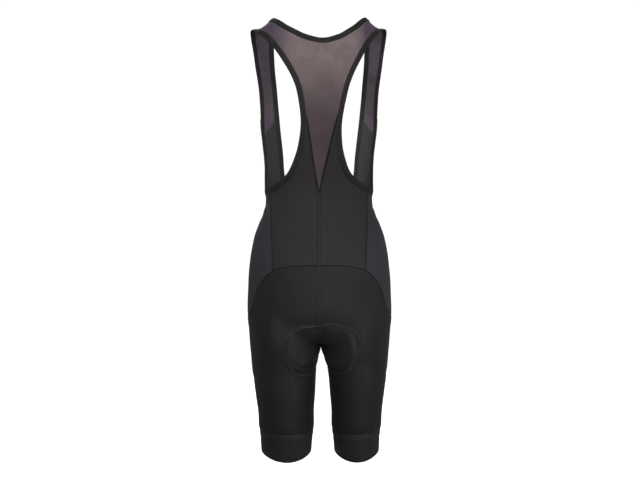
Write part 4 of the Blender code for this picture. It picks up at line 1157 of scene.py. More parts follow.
def stitch_shape():
    """A short four-sided thread along X, one long, with tapered ends."""
    bpy.ops.object.select_all(action="DESELECT")
    bpy.ops.mesh.primitive_cylinder_add(vertices=STITCH_SIDES, radius=1.0, depth=STITCH_BODY,
                                        location=(0, 0, 0))
    bpy.ops.object.mode_set(mode="EDIT")
    for way in (1, -1):
        work = bmesh.from_edit_mesh(bpy.context.object.data)
        for face in work.faces:
            face.select_set(face.normal.z * way > FACING)
        bmesh.update_edit_mesh(bpy.context.object.data)
        tip = (0, 0, (1 - STITCH_BODY) / 2 * way)
        bpy.ops.mesh.extrude_region_move(TRANSFORM_OT_translate={"value": tip})
        bpy.ops.transform.resize(value=(STITCH_TIP, STITCH_TIP, 1.0))
    points, faces = modelled()
    return points[:, [2, 0, 1]], faces


def dome_shape():
    """A low round dome, its flat side down."""
    bpy.ops.object.select_all(action="DESELECT")
    bpy.ops.mesh.primitive_uv_sphere_add(segments=DOME_SEGMENTS, ring_count=DOME_RINGS,
                                         radius=1.0, location=(0, 0, 0))
    bpy.ops.object.mode_set(mode="EDIT")
    bpy.ops.mesh.select_all(action="SELECT")
    bpy.ops.mesh.bisect(plane_co=(0, 0, 0), plane_no=(0, 0, 1), clear_inner=True, use_fill=True)
    points, faces = modelled()
    return points * (DOT_RADIUS, DOT_RADIUS, DOT_HEIGHT), faces


def resampled(path, normals, step, closed=False):
    """A path and its normals at even steps near the given one."""
    if closed:
        path, normals = (np.concatenate([rows, rows[:1]]) for rows in (path, normals))
    count = max(2, int(along(path)[-1] / step))
    return spaced(path, count), unit(spaced(path, count, normals))


def running(path, normals, step, closed=False):
    """One row of stitches along a path: centres, ways, ups and lengths."""
    points, ups = resampled(path, normals, step, closed)
    ways = points[1:] - points[:-1]
    size = np.linalg.norm(ways, axis=1) * STITCH_SHOWS
    return (points[1:] + points[:-1]) / 2, ways, (ups[1:] + ups[:-1]) / 2, size


def zigzag(path, normals, step, width):
    """Slanting threads that cross a seam from side to side."""
    points, ups = resampled(path, normals, step)
    side = unit(np.cross(ups, np.gradient(points, axis=0)))
    points = points + side * width / 2 * np.where(np.arange(len(points)) % 2, 1, -1)[:, None]
    ways = points[1:] - points[:-1]
    return (points[1:] + points[:-1]) / 2, ways, ups[:-1], np.linalg.norm(ways, axis=1)


def stitched(path, ups, across, rows, step, closed=False, crossed=False):
    """Rows of stitches, in mm across a path, and the threads that cross between them."""
    made = [running(path + across * row / 1000, ups, step, closed) for row in rows]
    if crossed:
        made.append(zigzag(path, ups, step * CROSS_STEP, rows[1] * 2 / 1000))
    return made


def sew(name, rows):
    """All the given rows of stitches as one piece of thread."""
    shape, faces = stitch_shape()
    shape = shape * (1, STITCH_RADIUS, STITCH_RADIUS)
    centres, ways, ups, size = (np.concatenate([row[k] for row in rows]) for k in range(4))
    points, faces = strewn(shape, faces, centres, ways, unit(ups), size)
    lengths = np.repeat(np.cumsum(size), len(shape))
    uv = np.stack([lengths, np.tile(shape[:, 1], len(size))], axis=1)
    return put(name, points, faces.tolist(), uv[faces].reshape(-1, 2), Finish.of("thread"),
               SHARP_THREAD)


# ---------------------------------------------------------------- the operators
SIDES = (("left", False), ("right", True))     # and whether it is the mirrored one
WELD = 1e-5
DOT_ROWS, DOTS_ROUND = 3, 44
DOTS_TOP, DOTS_LOW = -0.826, -0.840
DOT_RADIUS, DOT_HEIGHT = 0.0014, 0.0006
# flat patterns: width, length and area of each cloth piece before it was sewn and stretched
FLATS = {
    "back": (0.088, 0.290, 0.0165), "seat": (0.250, 0.350, 0.0560), "front": (0.235, 0.640, 0.0940),
    "cuff": (0.330, 0.036, None), "mesh_yoke": (0.250, 0.420, 0.0330),
    "armhole_binding": (0.010, 0.900, None), "neck_binding": (0.010, 1.240, None),
}


def carried(piece, slot, *nodes):
    """Attaches a piece to the root body and hides the solids it stands for; slot, its finish, is
    not used.
    """
    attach(piece, "root")
    if nodes:
        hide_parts(*nodes)
    return piece


def flat_sheet(piece, cut, **rest):
    width, length, area = FLATS[cut]


class BodyPanels(bpy.types.Operator):
    """Back, seat and front panels, left and right, with their creases"""
    bl_idname = "bib_shorts.body_panels"
    bl_label = "Body panels"

    def execute(self, context):
        sizes = context.scene.bib_shorts_sizes
        half = sizes.panel_wall / 2
        for cut, grid, finish, slot in (("back", back_grid(FINE), "panel", "panel"),
                                        ("seat", seat_grid(SEAT_FINE), "seat", "seat"),
                                        ("front", front_grid(FINE), "side", "panel")):
            for side, mirror in SIDES:
                piece = wall(f"{cut}_{side}_panel", *grid, half, half, Finish.of(finish),
                             mirror=mirror)
                carried(piece, slot, f"{cut}_{side}")
                flat_sheet(piece, cut, held="stretched", rests_on=["mesh_yoke_panel"])
        return {"FINISHED"}


class MeshYoke(bpy.types.Operator):
    """Sheer mesh over the shoulders and down the back to the tip of the V"""
    bl_idname = "bib_shorts.mesh_yoke"
    bl_label = "Mesh yoke"

    def execute(self, context):
        points, normals, addresses = yoke_grid()
        quads, _ = quads_of(*points.shape[:2])
        halves, faces, uvs = [], [], []
        for number, side in enumerate((1.0, FLIP)):
            flat, ways = points.reshape(-1, 3) * side, normals.reshape(-1, 3) * side
            corners = quads if not turned_out(flat, quads, ways) else quads[:, ::-1]
            uvs.append((addresses.reshape(-1, 2) * ((1, -1)[number], 1))[corners])
            moved, _ = on_cloth(flat, ways, 0.0)
            faces.append(corners + number * len(flat))
            halves.append(moved)
        piece = put("mesh_yoke_panel", np.concatenate(halves), np.concatenate(faces).tolist(),
                    np.concatenate(uvs), Finish.of("mesh"))
        work = bmesh.new()
        work.from_mesh(piece.data)
        bmesh.ops.remove_doubles(work, verts=work.verts[:], dist=WELD)
        work.to_mesh(piece.data)
        work.free()
        carried(piece, "mesh", "mesh_yoke")
        flat_sheet(piece, "mesh_yoke", held="hung", rests_on=["neck_binding_band"])
        return {"FINISHED"}


class Cuffs(bpy.types.Operator):
    """Gripper bands round both legs, with printed silicone inside"""
    bl_idname = "bib_shorts.cuffs"
    bl_label = "Cuffs"

    def execute(self, context):
        half = context.scene.bib_shorts_sizes.cuff_wall / 2
        grid = cuff_grid(FINE)
        for side, mirror in SIDES:
            piece = wall(f"cuff_{side}_band", *grid, half, half, Finish.of("cuff"), closed=True,
                         mirror=mirror)
            carried(piece, "cuff", f"cuff_{side}")
            flat_sheet(piece, "cuff", held="stretched", rests_on=[f"seat_{side}_panel"])
            carried(self.dots(side, mirror, half), "cuff")
        return {"FINISHED"}

    def dots(self, side, mirror, half):
        """Rows of small silicone domes inside one band, every other row half a step on."""
        row, column = np.divmod(np.arange(DOT_ROWS * DOTS_ROUND), DOTS_ROUND)
        share = (column + 0.5 * (row % 2)) / DOTS_ROUND
        level = np.linspace(DOTS_TOP, DOTS_LOW, DOT_ROWS)[row]
        inward = -outward(body, share, level)
        points, inward = on_cloth(body(share, level), inward, 0.0, mirror)
        points = points + inward * half
        dome, faces = dome_shape()
        tangent = unit(np.cross(inward, (0.0, 0.0, 1.0)))
        spots, faces = strewn(dome, faces, points, tangent, inward, np.ones(len(points)))
        return put(f"gripper_dots_{side}", spots, faces.tolist(),
                   spots[faces.reshape(-1)][:, :2], Finish.of("silicone"), SHARP_DOME)


# section of a folded binding: mm in from the bound edge, mm out from the cloth's middle
BINDING_PROFILE = ((0.0, 0.0), (0.25, 0.75), (1.1, 1.2), (2.6, 1.28), (5.0, 1.22), (7.6, 1.28),
                   (9.6, 1.10), (10.4, 0.75), (10.5, -0.3), (9.6, -1.10), (5.0, -1.22),
                   (1.1, -1.2), (0.25, -0.75))
BINDING_ROWS = (2.5, 7.7) # rows of stitches, mm in from the edge
BINDING_REVERSE_WITH_PAINTED_LIGHT = 0.35    # the elastic's inside is this far towards the knits' reverse, which is partly painted light
STITCH_PROUD = 0.00135
FLARE = 0.0026            # the armhole's binding stands away from the body under the arm
FLARE_CENTRE = (ARM_LOWER_ROWS - 3.0) * FINE + AT_YOKE
FLARE_RUN = 7.5 * FINE
FLARE_LOW = 0.25          # how much of that is left at its inner edge


def binding_lines(loop, closed, depths, flared):
    """Points and normals at several depths in from a bound edge."""
    here, _, inward = inward_of(loop, closed)
    rise = np.zeros(len(loop))
    if flared:
        rise = FLARE * smooth(1 - np.abs(np.arange(len(loop)) - FLARE_CENTRE) / FLARE_RUN)
    lines = []
    for depth in depths:
        points, normals = on_form(here + inward * depth / 1000)
        share = 1 - depth / 1000 / BINDING_WIDTH
        points = points + normals * (rise * (FLARE_LOW + (1 - FLARE_LOW) * share))[:, None]
        if not closed:
            points[[0, -1], 0] = 0.0
            points = np.concatenate([points, points[-2:0:-1] * FLIP])
            normals = np.concatenate([normals, normals[-2:0:-1] * FLIP])
        lines.append((points, normals))
    return lines


class Bindings(bpy.types.Operator):
    """Folded elastic round the neckline and both armholes, with its two rows of stitches"""
    bl_idname = "bib_shorts.bindings"
    bl_label = "Bindings"

    def execute(self, context):
        for name, loop, closed, mirror in (("neck_binding", NECK_LOOP, False, False),
                                           ("armhole_binding_left", ARM_LOOP, True, False),
                                           ("armhole_binding_right", ARM_LOOP, True, True)):
            depths = [depth for depth, _ in BINDING_PROFILE]
            lines = binding_lines(loop, closed, depths, closed)
            ring = [on_cloth(points, normals, height / 1000, mirror)[0]
                    for (points, normals), (_, height) in zip(lines, BINDING_PROFILE)]
            ring = np.stack(ring, axis=1)
            run = along(ring[:, 0])
            girth = along(np.concatenate([ring[0], ring[0][:1]]))[:-1]
            piece = ring_tube(name + "_band", ring, run, girth, Finish.of("binding"))
            inside = [BINDING_REVERSE_WITH_PAINTED_LIGHT if height < 0 else 0.0 for _, height in BINDING_PROFILE]
            mark_reverse_with_painted_light(piece, np.tile(inside, len(ring)))
            carried(piece, "binding", name)
            cut = "neck_binding" if name == "neck_binding" else "armhole_binding"
            flat_sheet(piece, cut, held="folded", rests_on=["mesh_yoke_panel"])
            step = context.scene.bib_shorts_sizes.stitch
            rows = [running(*on_cloth(points, normals, STITCH_PROUD, mirror), step, closed=True)
                    for points, normals in binding_lines(loop, closed, BINDING_ROWS, closed)]
            carried(sew(name + "_stitches", rows), "binding")
        return {"FINISHED"}


# sections of the seams: mm across, mm out from the cloth's middle; after each point numbered in
# SECTIONS comes a gap, where an edge meets the cloth and painted shade darkens it
FLAT_SEAM = ((-2.4, 0.25), (-2.2, 0.70), (-1.7, 0.86), (-1.1, 0.84), (-1.0, 0.66), (1.0, 0.66),
             (1.1, 0.84), (1.7, 0.86), (2.2, 0.70), (2.4, 0.25), (0.0, 0.15))
CENTRE_SEAM = ((-3.4, 0.25), (-3.2, 0.66), (-2.6, 0.66), (-2.2, 0.76), (2.2, 0.76), (2.6, 0.66),
               (3.2, 0.66), (3.4, 0.25), (0.0, 0.15))
LAPPED_SEAM = ((-3.2, 0.25), (-3.0, 0.75), (-2.2, 1.05), (-0.6, 1.10), (0.1, 0.90), (0.3, 0.66),
               (2.3, 0.66), (2.5, 0.25), (0.0, 0.15))
CUFF_SEAM = ((-7.1, 0.25), (-6.9, 0.66), (-5.5, 0.66), (-5.2, 0.90), (-4.6, 1.05), (4.6, 1.05),
             (5.2, 0.90), (5.5, 0.66), (6.9, 0.66), (7.1, 0.25), (0.0, 0.15))
PAD_LINE = ((-1.7, 0.25), (-1.5, 0.75), (-0.9, 1.15), (0.0, 1.30), (0.9, 1.15), (1.4, 0.75),
            (1.5, 0.66), (1.6, 0.64), (2.3, 0.64), (2.4, 0.25), (0.0, 0.15))
SECTIONS = {"flat": (FLAT_SEAM, 4), "centre": (CENTRE_SEAM, 1, 5), "lapped": (LAPPED_SEAM, 5),
            "cuff": (CUFF_SEAM, 1, 7), "pad_line": (PAD_LINE, 7)}
SEAM_STEP = 0.0025
SEAM_SUNK = 0.20          # mm out where a tapered end lies hidden in the cloth
TAPER = 0.004
TAPER_HIGH, TAPER_WIDE = 0.12, 0.4     # height and width left at a free end
BARE = 2                  # points at a free end that carry no stitches
RUN_ON = 0.005            # how far a seam's free end runs on under a binding
# rows of stitches, mm across, and their height over the cloth's middle
SEAM_ROWS = {"flat": (-1.6, 1.6), "centre": (-2.0, 2.0), "lapped": (-2.2, -0.9)}
SEAM_PROUD = {"flat": 0.00092, "centre": 0.00082, "lapped": 0.00112}
V_RISE = 0.001            # the centre seam runs this far past the tip of the V
SEAM_FINE = 3
CENTRE_BACK_POINTS, CENTRE_FRONT_POINTS, SEAT_TOP_STEPS, STRAP_STEPS = 40, 60, 30, 12


def section_run(section):
    """Distance round a section, in metres, at each of its points."""
    return along(np.array([(across, out, 0.0) for across, out in section]) / 1000)


def painted_shade_gaps_of(kind):
    """Painted shade of a seam's gaps, in metres round its section: their middle, distance out, half
    width.
    """
    section, *gaps = SECTIONS[kind]
    run = section_run(section)
    low, high = ((run[gap] + run[gap + 1]) / 2 for gap in (gaps[0], gaps[-1]))
    return (low + high) / 2, (high - low) / 2, (run[gaps[0] + 1] - run[gaps[0]]) / 2


def run_on(points, normals, ends):
    """A seam carried a little past its free ends, to lie under the bindings there."""
    for free, end in zip(ends, (0, -1)):
        if free:
            way = points[end] - points[1 if end == 0 else -2]
            more = points[end] + unit(way) * RUN_ON
            more = [np.array([more]), points] if end == 0 else [points, np.array([more])]
            same = [normals[:1], normals] if end == 0 else [normals, normals[-1:]]
            points, normals = np.concatenate(more), np.concatenate(same)
    return points, normals


def swept(path, ups, kind, ends=(False, False), closed=False, mirror=False, extra=0.0):
    """Rings of a seam's section along its path, and the ways across; its free ends taper off."""
    if closed:
        tangent = np.roll(path, -1, axis=0) - np.roll(path, 1, axis=0)
    else:
        tangent = np.gradient(path, axis=0)
    across = unit(np.cross(ups, tangent)) * (-1 if mirror else 1)
    run = along(path)
    full = np.ones(len(path))
    for free, gone in zip(ends, (run, run[-1] - run)):
        if free:
            full = np.minimum(full, TAPER_HIGH + (1 - TAPER_HIGH) * smooth(gone / TAPER))
    x, z = (np.array(SECTIONS[kind][0]) / 1000).T
    low = SEAM_SUNK / 1000
    out = low + extra + (z[None] - low) * full[:, None]
    wide = x[None] * (TAPER_WIDE + (1 - TAPER_WIDE) * full[:, None])
    return path[:, None] + across[:, None] * wide[..., None] + ups[:, None] * out[..., None], across


def level_normals(share, level):
    """Normals on the centre plane, with no lean to either side."""
    return unit(outward(body, share, level) * (0, 1, 1))


def seam_paths():
    """Each seam: name, points, normals, kind, finish, free ends, and whether it is central."""
    levels = lower_levels(SEAM_FINE)
    seat_centre = seat_centre_level(levels)
    centre_back = np.linspace(V_TIP + V_RISE, SEAT_TOP_CENTRE, CENTRE_BACK_POINTS)
    centre_front = np.linspace(FORK, NECK_SEAM[-1][2], CENTRE_FRONT_POINTS)
    for name, share, level, finish, ends in (
            ("centre_back", 0.0, centre_back, "centre_seam", (True, False)),
            ("centre_seat", 0.0, seat_centre[seat_centre >= FORK], "seat_seam", (False, False)),
            ("centre_front", 1.0, centre_front, "centre_seam", (False, True))):
        share = np.full_like(level, share)
        yield (name, body(share, level) * (0, 1, 1), level_normals(share, level), "centre",
               finish, ends, True)
    seat_top = ruled(np.array([[0.0, SEAT_TOP_CENTRE]]), SEAT_CORNER[None], SEAT_TOP_STEPS,
                     falls=SEAT_TOP_FALL)[0]
    seat_side = np.stack([seat_seam(levels), levels], axis=1)
    for name, kind, finish, ends, addresses in (
            ("side_back", "flat", "seam", (False, True), side_back_seam(SEAM_FINE)),
            ("seat_top", "lapped", "lapped_seam", (False, False), seat_top),
            ("seat_side", "lapped", "lapped_seam", (False, False), seat_side)):
        share, level = addresses.T
        yield (name, body(share, level), outward(body, share, level), kind, finish, ends, False)
    for name, points in (("v_edge", V_POINTS), ("strap", strap_seam(STRAP_STEPS))):
        out, travel = shoulder_address(points).T
        if name == "v_edge":
            points = over_shoulder(out, travel)
        yield name, points, shoulder_normals(out, travel), "flat", "seam", (True, True), False


class Seams(bpy.types.Operator):
    """Flatlock and lapped seams between the panels, with their rows of stitches"""
    bl_idname = "bib_shorts.seams"
    bl_label = "Seams"

    def execute(self, context):
        step = context.scene.bib_shorts_sizes.stitch
        rows = []
        for name, points, normals, kind, finish, ends, central in seam_paths():
            for side, mirror in SIDES[:1] if central else SIDES:
                path, ups = on_cloth(*run_on(points, normals, ends), 0.0, mirror)
                path, ups = resampled(path, ups, SEAM_STEP)
                rings, across = swept(path, ups, kind, ends, mirror=mirror)
                label = f"seam_{name}" if central else f"seam_{name}_{side}"
                band = ring_tube(label, rings, along(path), section_run(SECTIONS[kind][0]),
                                 Finish.of(finish), closed=False)
                carried(band, "panel")
                kept = slice(BARE if ends[0] else 0, -BARE if ends[1] else None)
                path, ups, across = path[kept], ups[kept], across[kept]
                rows += stitched(path + ups * SEAM_PROUD[kind], ups, across, SEAM_ROWS[kind],
                                 step, crossed=kind == "flat")
        carried(sew("flatlock_stitches", rows), "panel")
        return {"FINISHED"}


# drop below the top of the cuff, whether the seam's band lies there, height of the stitches
CUFF_LINES = ((0.0022, True, 0.00112), (0.0145, False, 0.00070))
CUFF_ROWS = (-1.6, 1.6)   # mm across
CUFF_STEPS = 240


class CuffStitches(bpy.types.Operator):
    """Cuff seams under the edge of the leg, the coverstitch below them and its raised line"""
    bl_idname = "bib_shorts.cuff_stitches"
    bl_label = "Cuff stitches"

    def execute(self, context):
        sizes = context.scene.bib_shorts_sizes
        half = sizes.cuff_wall / 2 - sizes.panel_wall / 2
        rows = []
        share = np.linspace(0, 1, CUFF_STEPS, endpoint=False)
        for side, mirror in SIDES:
            for drop, seamed, proud in CUFF_LINES:
                level = np.full_like(share, CUFF_TOP - drop)
                path, ups = on_cloth(body(share, level), outward(body, share, level), 0.0, mirror)
                rings, across = swept(path, ups, "cuff", closed=True, mirror=not mirror,
                                      extra=half)
                if seamed:
                    band = ring_tube(f"seam_cuff_{side}", rings, along(path),
                                     section_run(CUFF_SEAM), Finish.of("cuff_seam"))
                    carried(band, "cuff")
                rows += stitched(path + ups * (half + proud), ups, across, CUFF_ROWS,
                                 sizes.stitch, closed=True)
        carried(sew("cuff_stitches", rows), "cuff")
        return {"FINISHED"}


PAD_GAP = 0.0036          # cloth to pad
PAD_UNDER = 0.0021        # the least distance kept from the cloth's middle
PAD_MID, PAD_EDGE = 0.0076, 0.0022     # thickness
PAD_WAIST, PAD_WING, PAD_NOSE = 0.030, 0.066, 0.040   # half widths: fork, back and front
PAD_WING_RISE, PAD_WING_ROUND, PAD_NOSE_ROUND, PAD_END_POWER = 1.6, 0.55, 0.45, 6
PAD_RIDGE = 0.010         # how far the middle rides up off the fork
PAD_SPAN, PAD_FAN, PAD_LEAN = 0.66, 1.4, 0.5   # reach up from the fork, fan and lean of its rows
PAD_ROWS, PAD_COLUMNS = 52, 28
PAD_FINE = 3              # steps to a row in the cloth that it is laid on
PAD_LENGTH = 0.24         # from its nose to its back along the middle
PAD_CENTRE = np.array([0.0, 0.0, -0.50])
PAD_RIM = (0.16, 0.07)    # share of the half width and of the length where it thins to the rim
# middle channel: half width, depth, how far along it runs, and how fast it ends
CHANNEL = (0.0055, 0.0032, 0.92, 0.2)
PAD_GROOVES = (           # along the pad from -1 at the nose, half length, depth in mm
    (0.38, 0.030, 2.2), (-0.10, 0.030, 1.6), (0.78, 0.025, 1.6),
)
GROOVE_BEND = 0.10        # they bend this far back at the edges
PAD_LOBES = (0.52, 0.30, 0.56, 0.22, 0.0012)   # across, half width, along, half length, height


class SeatPad(bpy.types.Operator):
    """Seat pad: moulded foam under microfibre, laid inside the seat and up the front"""
    bl_idname = "bib_shorts.seat_pad"
    bl_label = "Seat pad"

    def execute(self, context):
        middle, across, run = pad_grid()
        normals = unit(np.cross(np.gradient(middle, axis=1), np.gradient(middle, axis=0)))
        if np.sum(normals * (middle - PAD_CENTRE)) < 0:
            normals = -normals
        uv = np.stack([middle[..., 0], np.broadcast_to(run[:, None] * PAD_LENGTH,
                                                       middle.shape[:2])], axis=-1)
        first = context.scene.bib_shorts_sizes.panel_wall / 2 + PAD_GAP
        piece = wall("chamois_foam_pad", middle, normals, uv, -first,
                     first + pad_depth(across, run, middle), Finish.of("pad"))
        self.tuck(piece, middle.shape[:2])
        carried(piece, "pad", "chamois_pad")
        return {"FINISHED"}

    def tuck(self, piece, shape):
        """Draws the pad back inside the seat and the front where it stands out through them."""
        count = shape[0] * shape[1]
        points = np.array([vertex.co[:] for vertex in piece.data.vertices])
        column = np.tile(np.arange(count) % shape[1], 2)
        lift = Cloth.lift(points)
        for number, point in enumerate(points):
            finder, ways = Cloth.sides[0 if column[number] >= shape[1] // 2 else 1]
            near, index, _ = finder.find(Vector(point))
            over = (point - np.array(near)) @ ways[index] - lift[number] + PAD_UNDER
            if over > 0:
                points[number] = point - over * ways[index]
        piece.data.vertices.foreach_set("co", points.reshape(-1))


def pad_reach(t, back):
    """Half width of the pad, t from 0 under the fork to 1 at either end."""
    wing = (PAD_WING - PAD_WAIST) * smooth(PAD_WING_RISE * t)
    wing = PAD_WAIST + wing * (1 - PAD_WING_ROUND * t ** PAD_END_POWER)
    nose = PAD_WAIST + (PAD_NOSE - PAD_WAIST) * smooth(t)
    return np.where(back, wing, nose - PAD_NOSE * PAD_NOSE_ROUND * t ** PAD_END_POWER)


def pad_grid():
    """The pad's rows across the rise seam, laid on the inside of the seat and the front."""
    points, faces = [], []
    for grid, _, _ in (seat_grid(PAD_FINE), front_grid(PAD_FINE)):
        quads, _ = quads_of(*grid.shape[:2])
        faces += (quads + len(points)).tolist()
        points += grid.reshape(-1, 3).tolist()
    cloth = BVHTree.FromPolygons(points, faces)
    run = np.linspace(-1, 1, 2 * PAD_ROWS + 1)
    across = np.linspace(0, 1, PAD_COLUMNS + 1)
    half = np.zeros((len(run), len(across), 3))
    for i, signed in enumerate(run):
        t, back = abs(signed), signed >= 0
        down = math.pi / 2 * (1 - t) ** PAD_FAN
        level = FORK_TOP + (FORK - FORK_TOP) * math.sin(math.pi / 2 * (1 - PAD_SPAN * t))
        middle = body(0.0 if back else 1.0, level) * (0, 1, 1)
        way = np.array([math.cos(down), 0.0, -math.sin(down)])
        lean = np.array([0.0, -PAD_LEAN * math.copysign(t, middle[1]), 1.0])
        half[i, 0] = middle + lean * PAD_RIDGE * (1 - t) ** 2
        for j, share in enumerate(across[1:], 1):
            guess = middle + way * float(pad_reach(t, back)) * share
            half[i, j] = cloth.find_nearest(Vector(guess))[0]
    whole = np.concatenate([half[:, :0:-1] * FLIP, half], axis=1)
    return whole, np.concatenate([-across[:0:-1], across]), run


def pad_depth(across, run, middle):
    """Thickness of the foam: thin stitched rim, two lobes, a middle channel and flex grooves."""
    across, run = np.broadcast_arrays(across[None, :], run[:, None])
    rim = smooth((1 - np.abs(across)) / PAD_RIM[0]) * smooth((1 - np.abs(run)) / PAD_RIM[1])
    half, deep, end, fade = CHANNEL
    channel = np.exp(-(middle[..., 0] / half) ** 2) * smooth((end - np.abs(run)) / fade)
    depth = (PAD_MID - PAD_EDGE) - deep * channel
    for centre, half, deep in PAD_GROOVES:
        bent = run - centre - GROOVE_BEND * np.abs(across)
        depth = depth - deep / 1000 * np.exp(-(bent / half) ** 2)
    out, wide, on, long, high = PAD_LOBES
    lobes = np.exp(-((np.abs(across) - out) / wide) ** 2 - ((run - on) / long) ** 2)
    return PAD_EDGE + (depth + high * lobes) * rim


PAD_LINE_STEPS = 90
PAD_LINE_EVENED = 6       # passes that even out its points and normals
PAD_LINE_PROUD = 0.00125
PAD_LINE_ROWS = (-0.9, 0.9)            # mm across


class PadStitches(bpy.types.Operator):
    """The raised line and its stitches that show the pad's outline on the outside of the seat"""
    bl_idname = "bib_shorts.pad_stitches"
    bl_label = "Pad stitches"

    def execute(self, context):
        step = context.scene.bib_shorts_sizes.stitch
        rows = []
        for (side, mirror), (path, _, _) in zip(SIDES, Cloth.laid):
            points, ups = self.on_seat(path)
            points = points + ups * Cloth.lift(points)[:, None]
            rings, across = swept(points, ups, "pad_line", (True, True), mirror=mirror)
            band = ring_tube(f"pad_line_{side}", rings, along(points), section_run(PAD_LINE),
                             Finish.of("pad_line"), closed=False)
            carried(band, "seat")
            rows += stitched(points + ups * PAD_LINE_PROUD, ups, across, PAD_LINE_ROWS, step,
                             crossed=True)
        carried(sew("pad_stitches", rows), "seat")
        return {"FINISHED"}

    def on_seat(self, path):
        """Even points along a path on the cloth, with the cloth's normals evened out."""
        found = [Cloth.tree.find_nearest(Vector(point)) for point in spaced(path, PAD_LINE_STEPS)]
        points, ups = (np.array([hit[k] for hit in found]) for k in (0, 1))
        ups = unit(np.where((ups[:, 1] < 0)[:, None], -ups, ups))
        for _ in range(PAD_LINE_EVENED):
            ups[1:-1] = unit(ups[:-2] + 2 * ups[1:-1] + ups[2:])
            points[1:-1] = (points[:-2] + 2 * points[1:-1] + points[2:]) / 4
        return points, ups


# ---------------------------------------------------------------- studio
FLOOR_SIZE, FLOOR_PLACE = 14.0, (0.0, 3.0, -1.30)
FLOOR_BEND, FLOOR_RISE, FLOOR_SEGMENTS = 1.2, 6.0, 24
FLOOR_GRAIN, FLOOR_SHADE, FLOOR_ROUGHNESS = 1.5, (0.98, 1.0), 0.9
NEAR = 0.01               # what counts as on the floor's far edge
ROOM_LIGHT, BACKDROP_LIGHT = 0.18, 1.05        # what the pieces and what the camera get of it
FLOOR_WASH, WASH_ANGLE, WASH_TILT = 6.0, 120, -40
CAMERA = (-0.0016, 1.75, -0.436)
CAMERA_ROLL = 0.0044
LENS, SENSOR = 50, 36
LIGHTS = (   # name, place, aim, size, watts, spread in degrees (a grid on the softbox)
    ("key_softbox", (-1.7, 1.9, 0.1), (0.0, 0.0, -0.40), 1.0, 8.5, 180),
    ("side_softbox", (-2.3, 0.9, -0.1), (0.0, 0.0, -0.40), 1.0, 5.0, 180),
    ("fill_softbox", (1.7, 1.5, 0.5), (0.05, 0.0, -0.20), 0.5, 0.31, 22),
    ("camera_softbox", (-0.3, 2.1, 0.8), (0.0, 0.0, -0.10), 1.0, 13.0, 180),
    ("low_softbox", (-0.45, 1.55, -1.10), (0.0, 0.09, -0.60), 0.3, 0.07, 14),
    ("front_softbox", (0.4, -2.4, 1.2), (0.0, 0.0, -0.40), 1.6, 26.0, 180),
)


class Studio(bpy.types.Operator):
    """Pale floor that curves up behind, soft studio light, and the camera"""
    bl_idname = "bib_shorts.studio"
    bl_label = "Studio"

    def execute(self, context):
        floor = self.floor(context.scene.bib_shorts_colours)
        floor.visible_diffuse = floor.visible_glossy = False    # it throws no light up at the cloth
        wash = bpy.data.lights.new("floor_wash", "SUN")
        wash.energy, wash.angle = FLOOR_WASH, math.radians(WASH_ANGLE)
        only = bpy.data.collections.new("floor_only")
        only.objects.link(floor)
        lamp = self.stand("floor_wash", wash, (0, 0, 0), (math.radians(WASH_TILT), 0.0, 0.0))
        lamp.light_linking.receiver_collection = only
        for name, site, aim, size, power, spread in LIGHTS:
            light = bpy.data.lights.new(name, "AREA")
            light.shape, light.size, light.energy = "SQUARE", size, power
            light.spread = math.radians(spread)
            way = Vector(aim) - Vector(site)
            self.stand(name, light, site, way.to_track_quat("-Z", "Y").to_euler())
        self.room(context.scene)
        camera = bpy.data.cameras.new("camera")
        camera.lens, camera.sensor_width = LENS, SENSOR
        turn = (math.pi / 2, CAMERA_ROLL, math.pi)
        context.scene.camera = self.stand("camera", camera, CAMERA, turn)
        context.scene.view_settings.view_transform = "Standard"
        return {"FINISHED"}

    def stand(self, name, data, site, turn):
        """A lamp or the camera, set up in its place."""
        item = bpy.data.objects.new(name, data)
        item.location, item.rotation_euler = site, turn
        bpy.context.scene.collection.objects.link(item)
        return item

    def room(self, scene):
        """Even light from all round, with a brighter backdrop for the camera alone."""
        world = bpy.data.worlds.new("studio")
        world.use_nodes = True
        tree = world.node_tree
        seen = add(tree, "LightPath", {}).outputs["Is Camera Ray"]
        power = ramp(tree, seen, (0.0, 1.0), (ROOM_LIGHT, BACKDROP_LIGHT), "LINEAR")
        plug(tree, tree.nodes["Background"], {0: (1.0, 1.0, 1.0, 1.0), 1: power})
        scene.world = world

    def floor(self, colours):
        """A wide floor whose far edge is drawn up into a backdrop through a rounded fold."""
        bpy.ops.object.select_all(action="DESELECT")
        bpy.ops.mesh.primitive_plane_add(size=FLOOR_SIZE, location=FLOOR_PLACE)
        piece = bpy.context.object
        piece.name = "studio_floor"
        bpy.ops.object.transform_apply()
        bpy.ops.object.mode_set(mode="EDIT")
        work = bmesh.from_edit_mesh(piece.data)
        far = min(vertex.co.y for vertex in work.verts)
        for edge in work.edges:
            edge.select_set(all(vertex.co.y < far + NEAR for vertex in edge.verts))
        bmesh.update_edit_mesh(piece.data)
        bpy.ops.mesh.extrude_region_move(TRANSFORM_OT_translate={"value": (0, 0, FLOOR_RISE)})
        work = bmesh.from_edit_mesh(piece.data)
        for edge in work.edges:
            edge.select_set(all(vertex.co.y < far + NEAR and vertex.co.z < FLOOR_PLACE[2] + NEAR
                                for vertex in edge.verts))
        bmesh.update_edit_mesh(piece.data)
        bpy.ops.mesh.bevel(offset=FLOOR_BEND, segments=FLOOR_SEGMENTS)
        bpy.ops.object.mode_set(mode="OBJECT")
        bpy.ops.object.shade_smooth()
        material, tree, shader = start_material("painted_studio_floor")
        paint = noise(tree, in_object(tree), FLOOR_GRAIN)
        shade = ramp(tree, paint, (0.0, 1.0), FLOOR_SHADE, "LINEAR")
        plug(tree, shader, {"Base Color": blend(tree, 1.0, colours.backdrop, shade, "MULTIPLY"),
                            "Roughness": FLOOR_ROUGHNESS})
        piece.data.materials.append(material)
        return piece


# ---------------------------------------------------------------- the add-on
def size_property(name, description, default):
    return FloatProperty(name=name, description=description, default=default, unit="LENGTH")


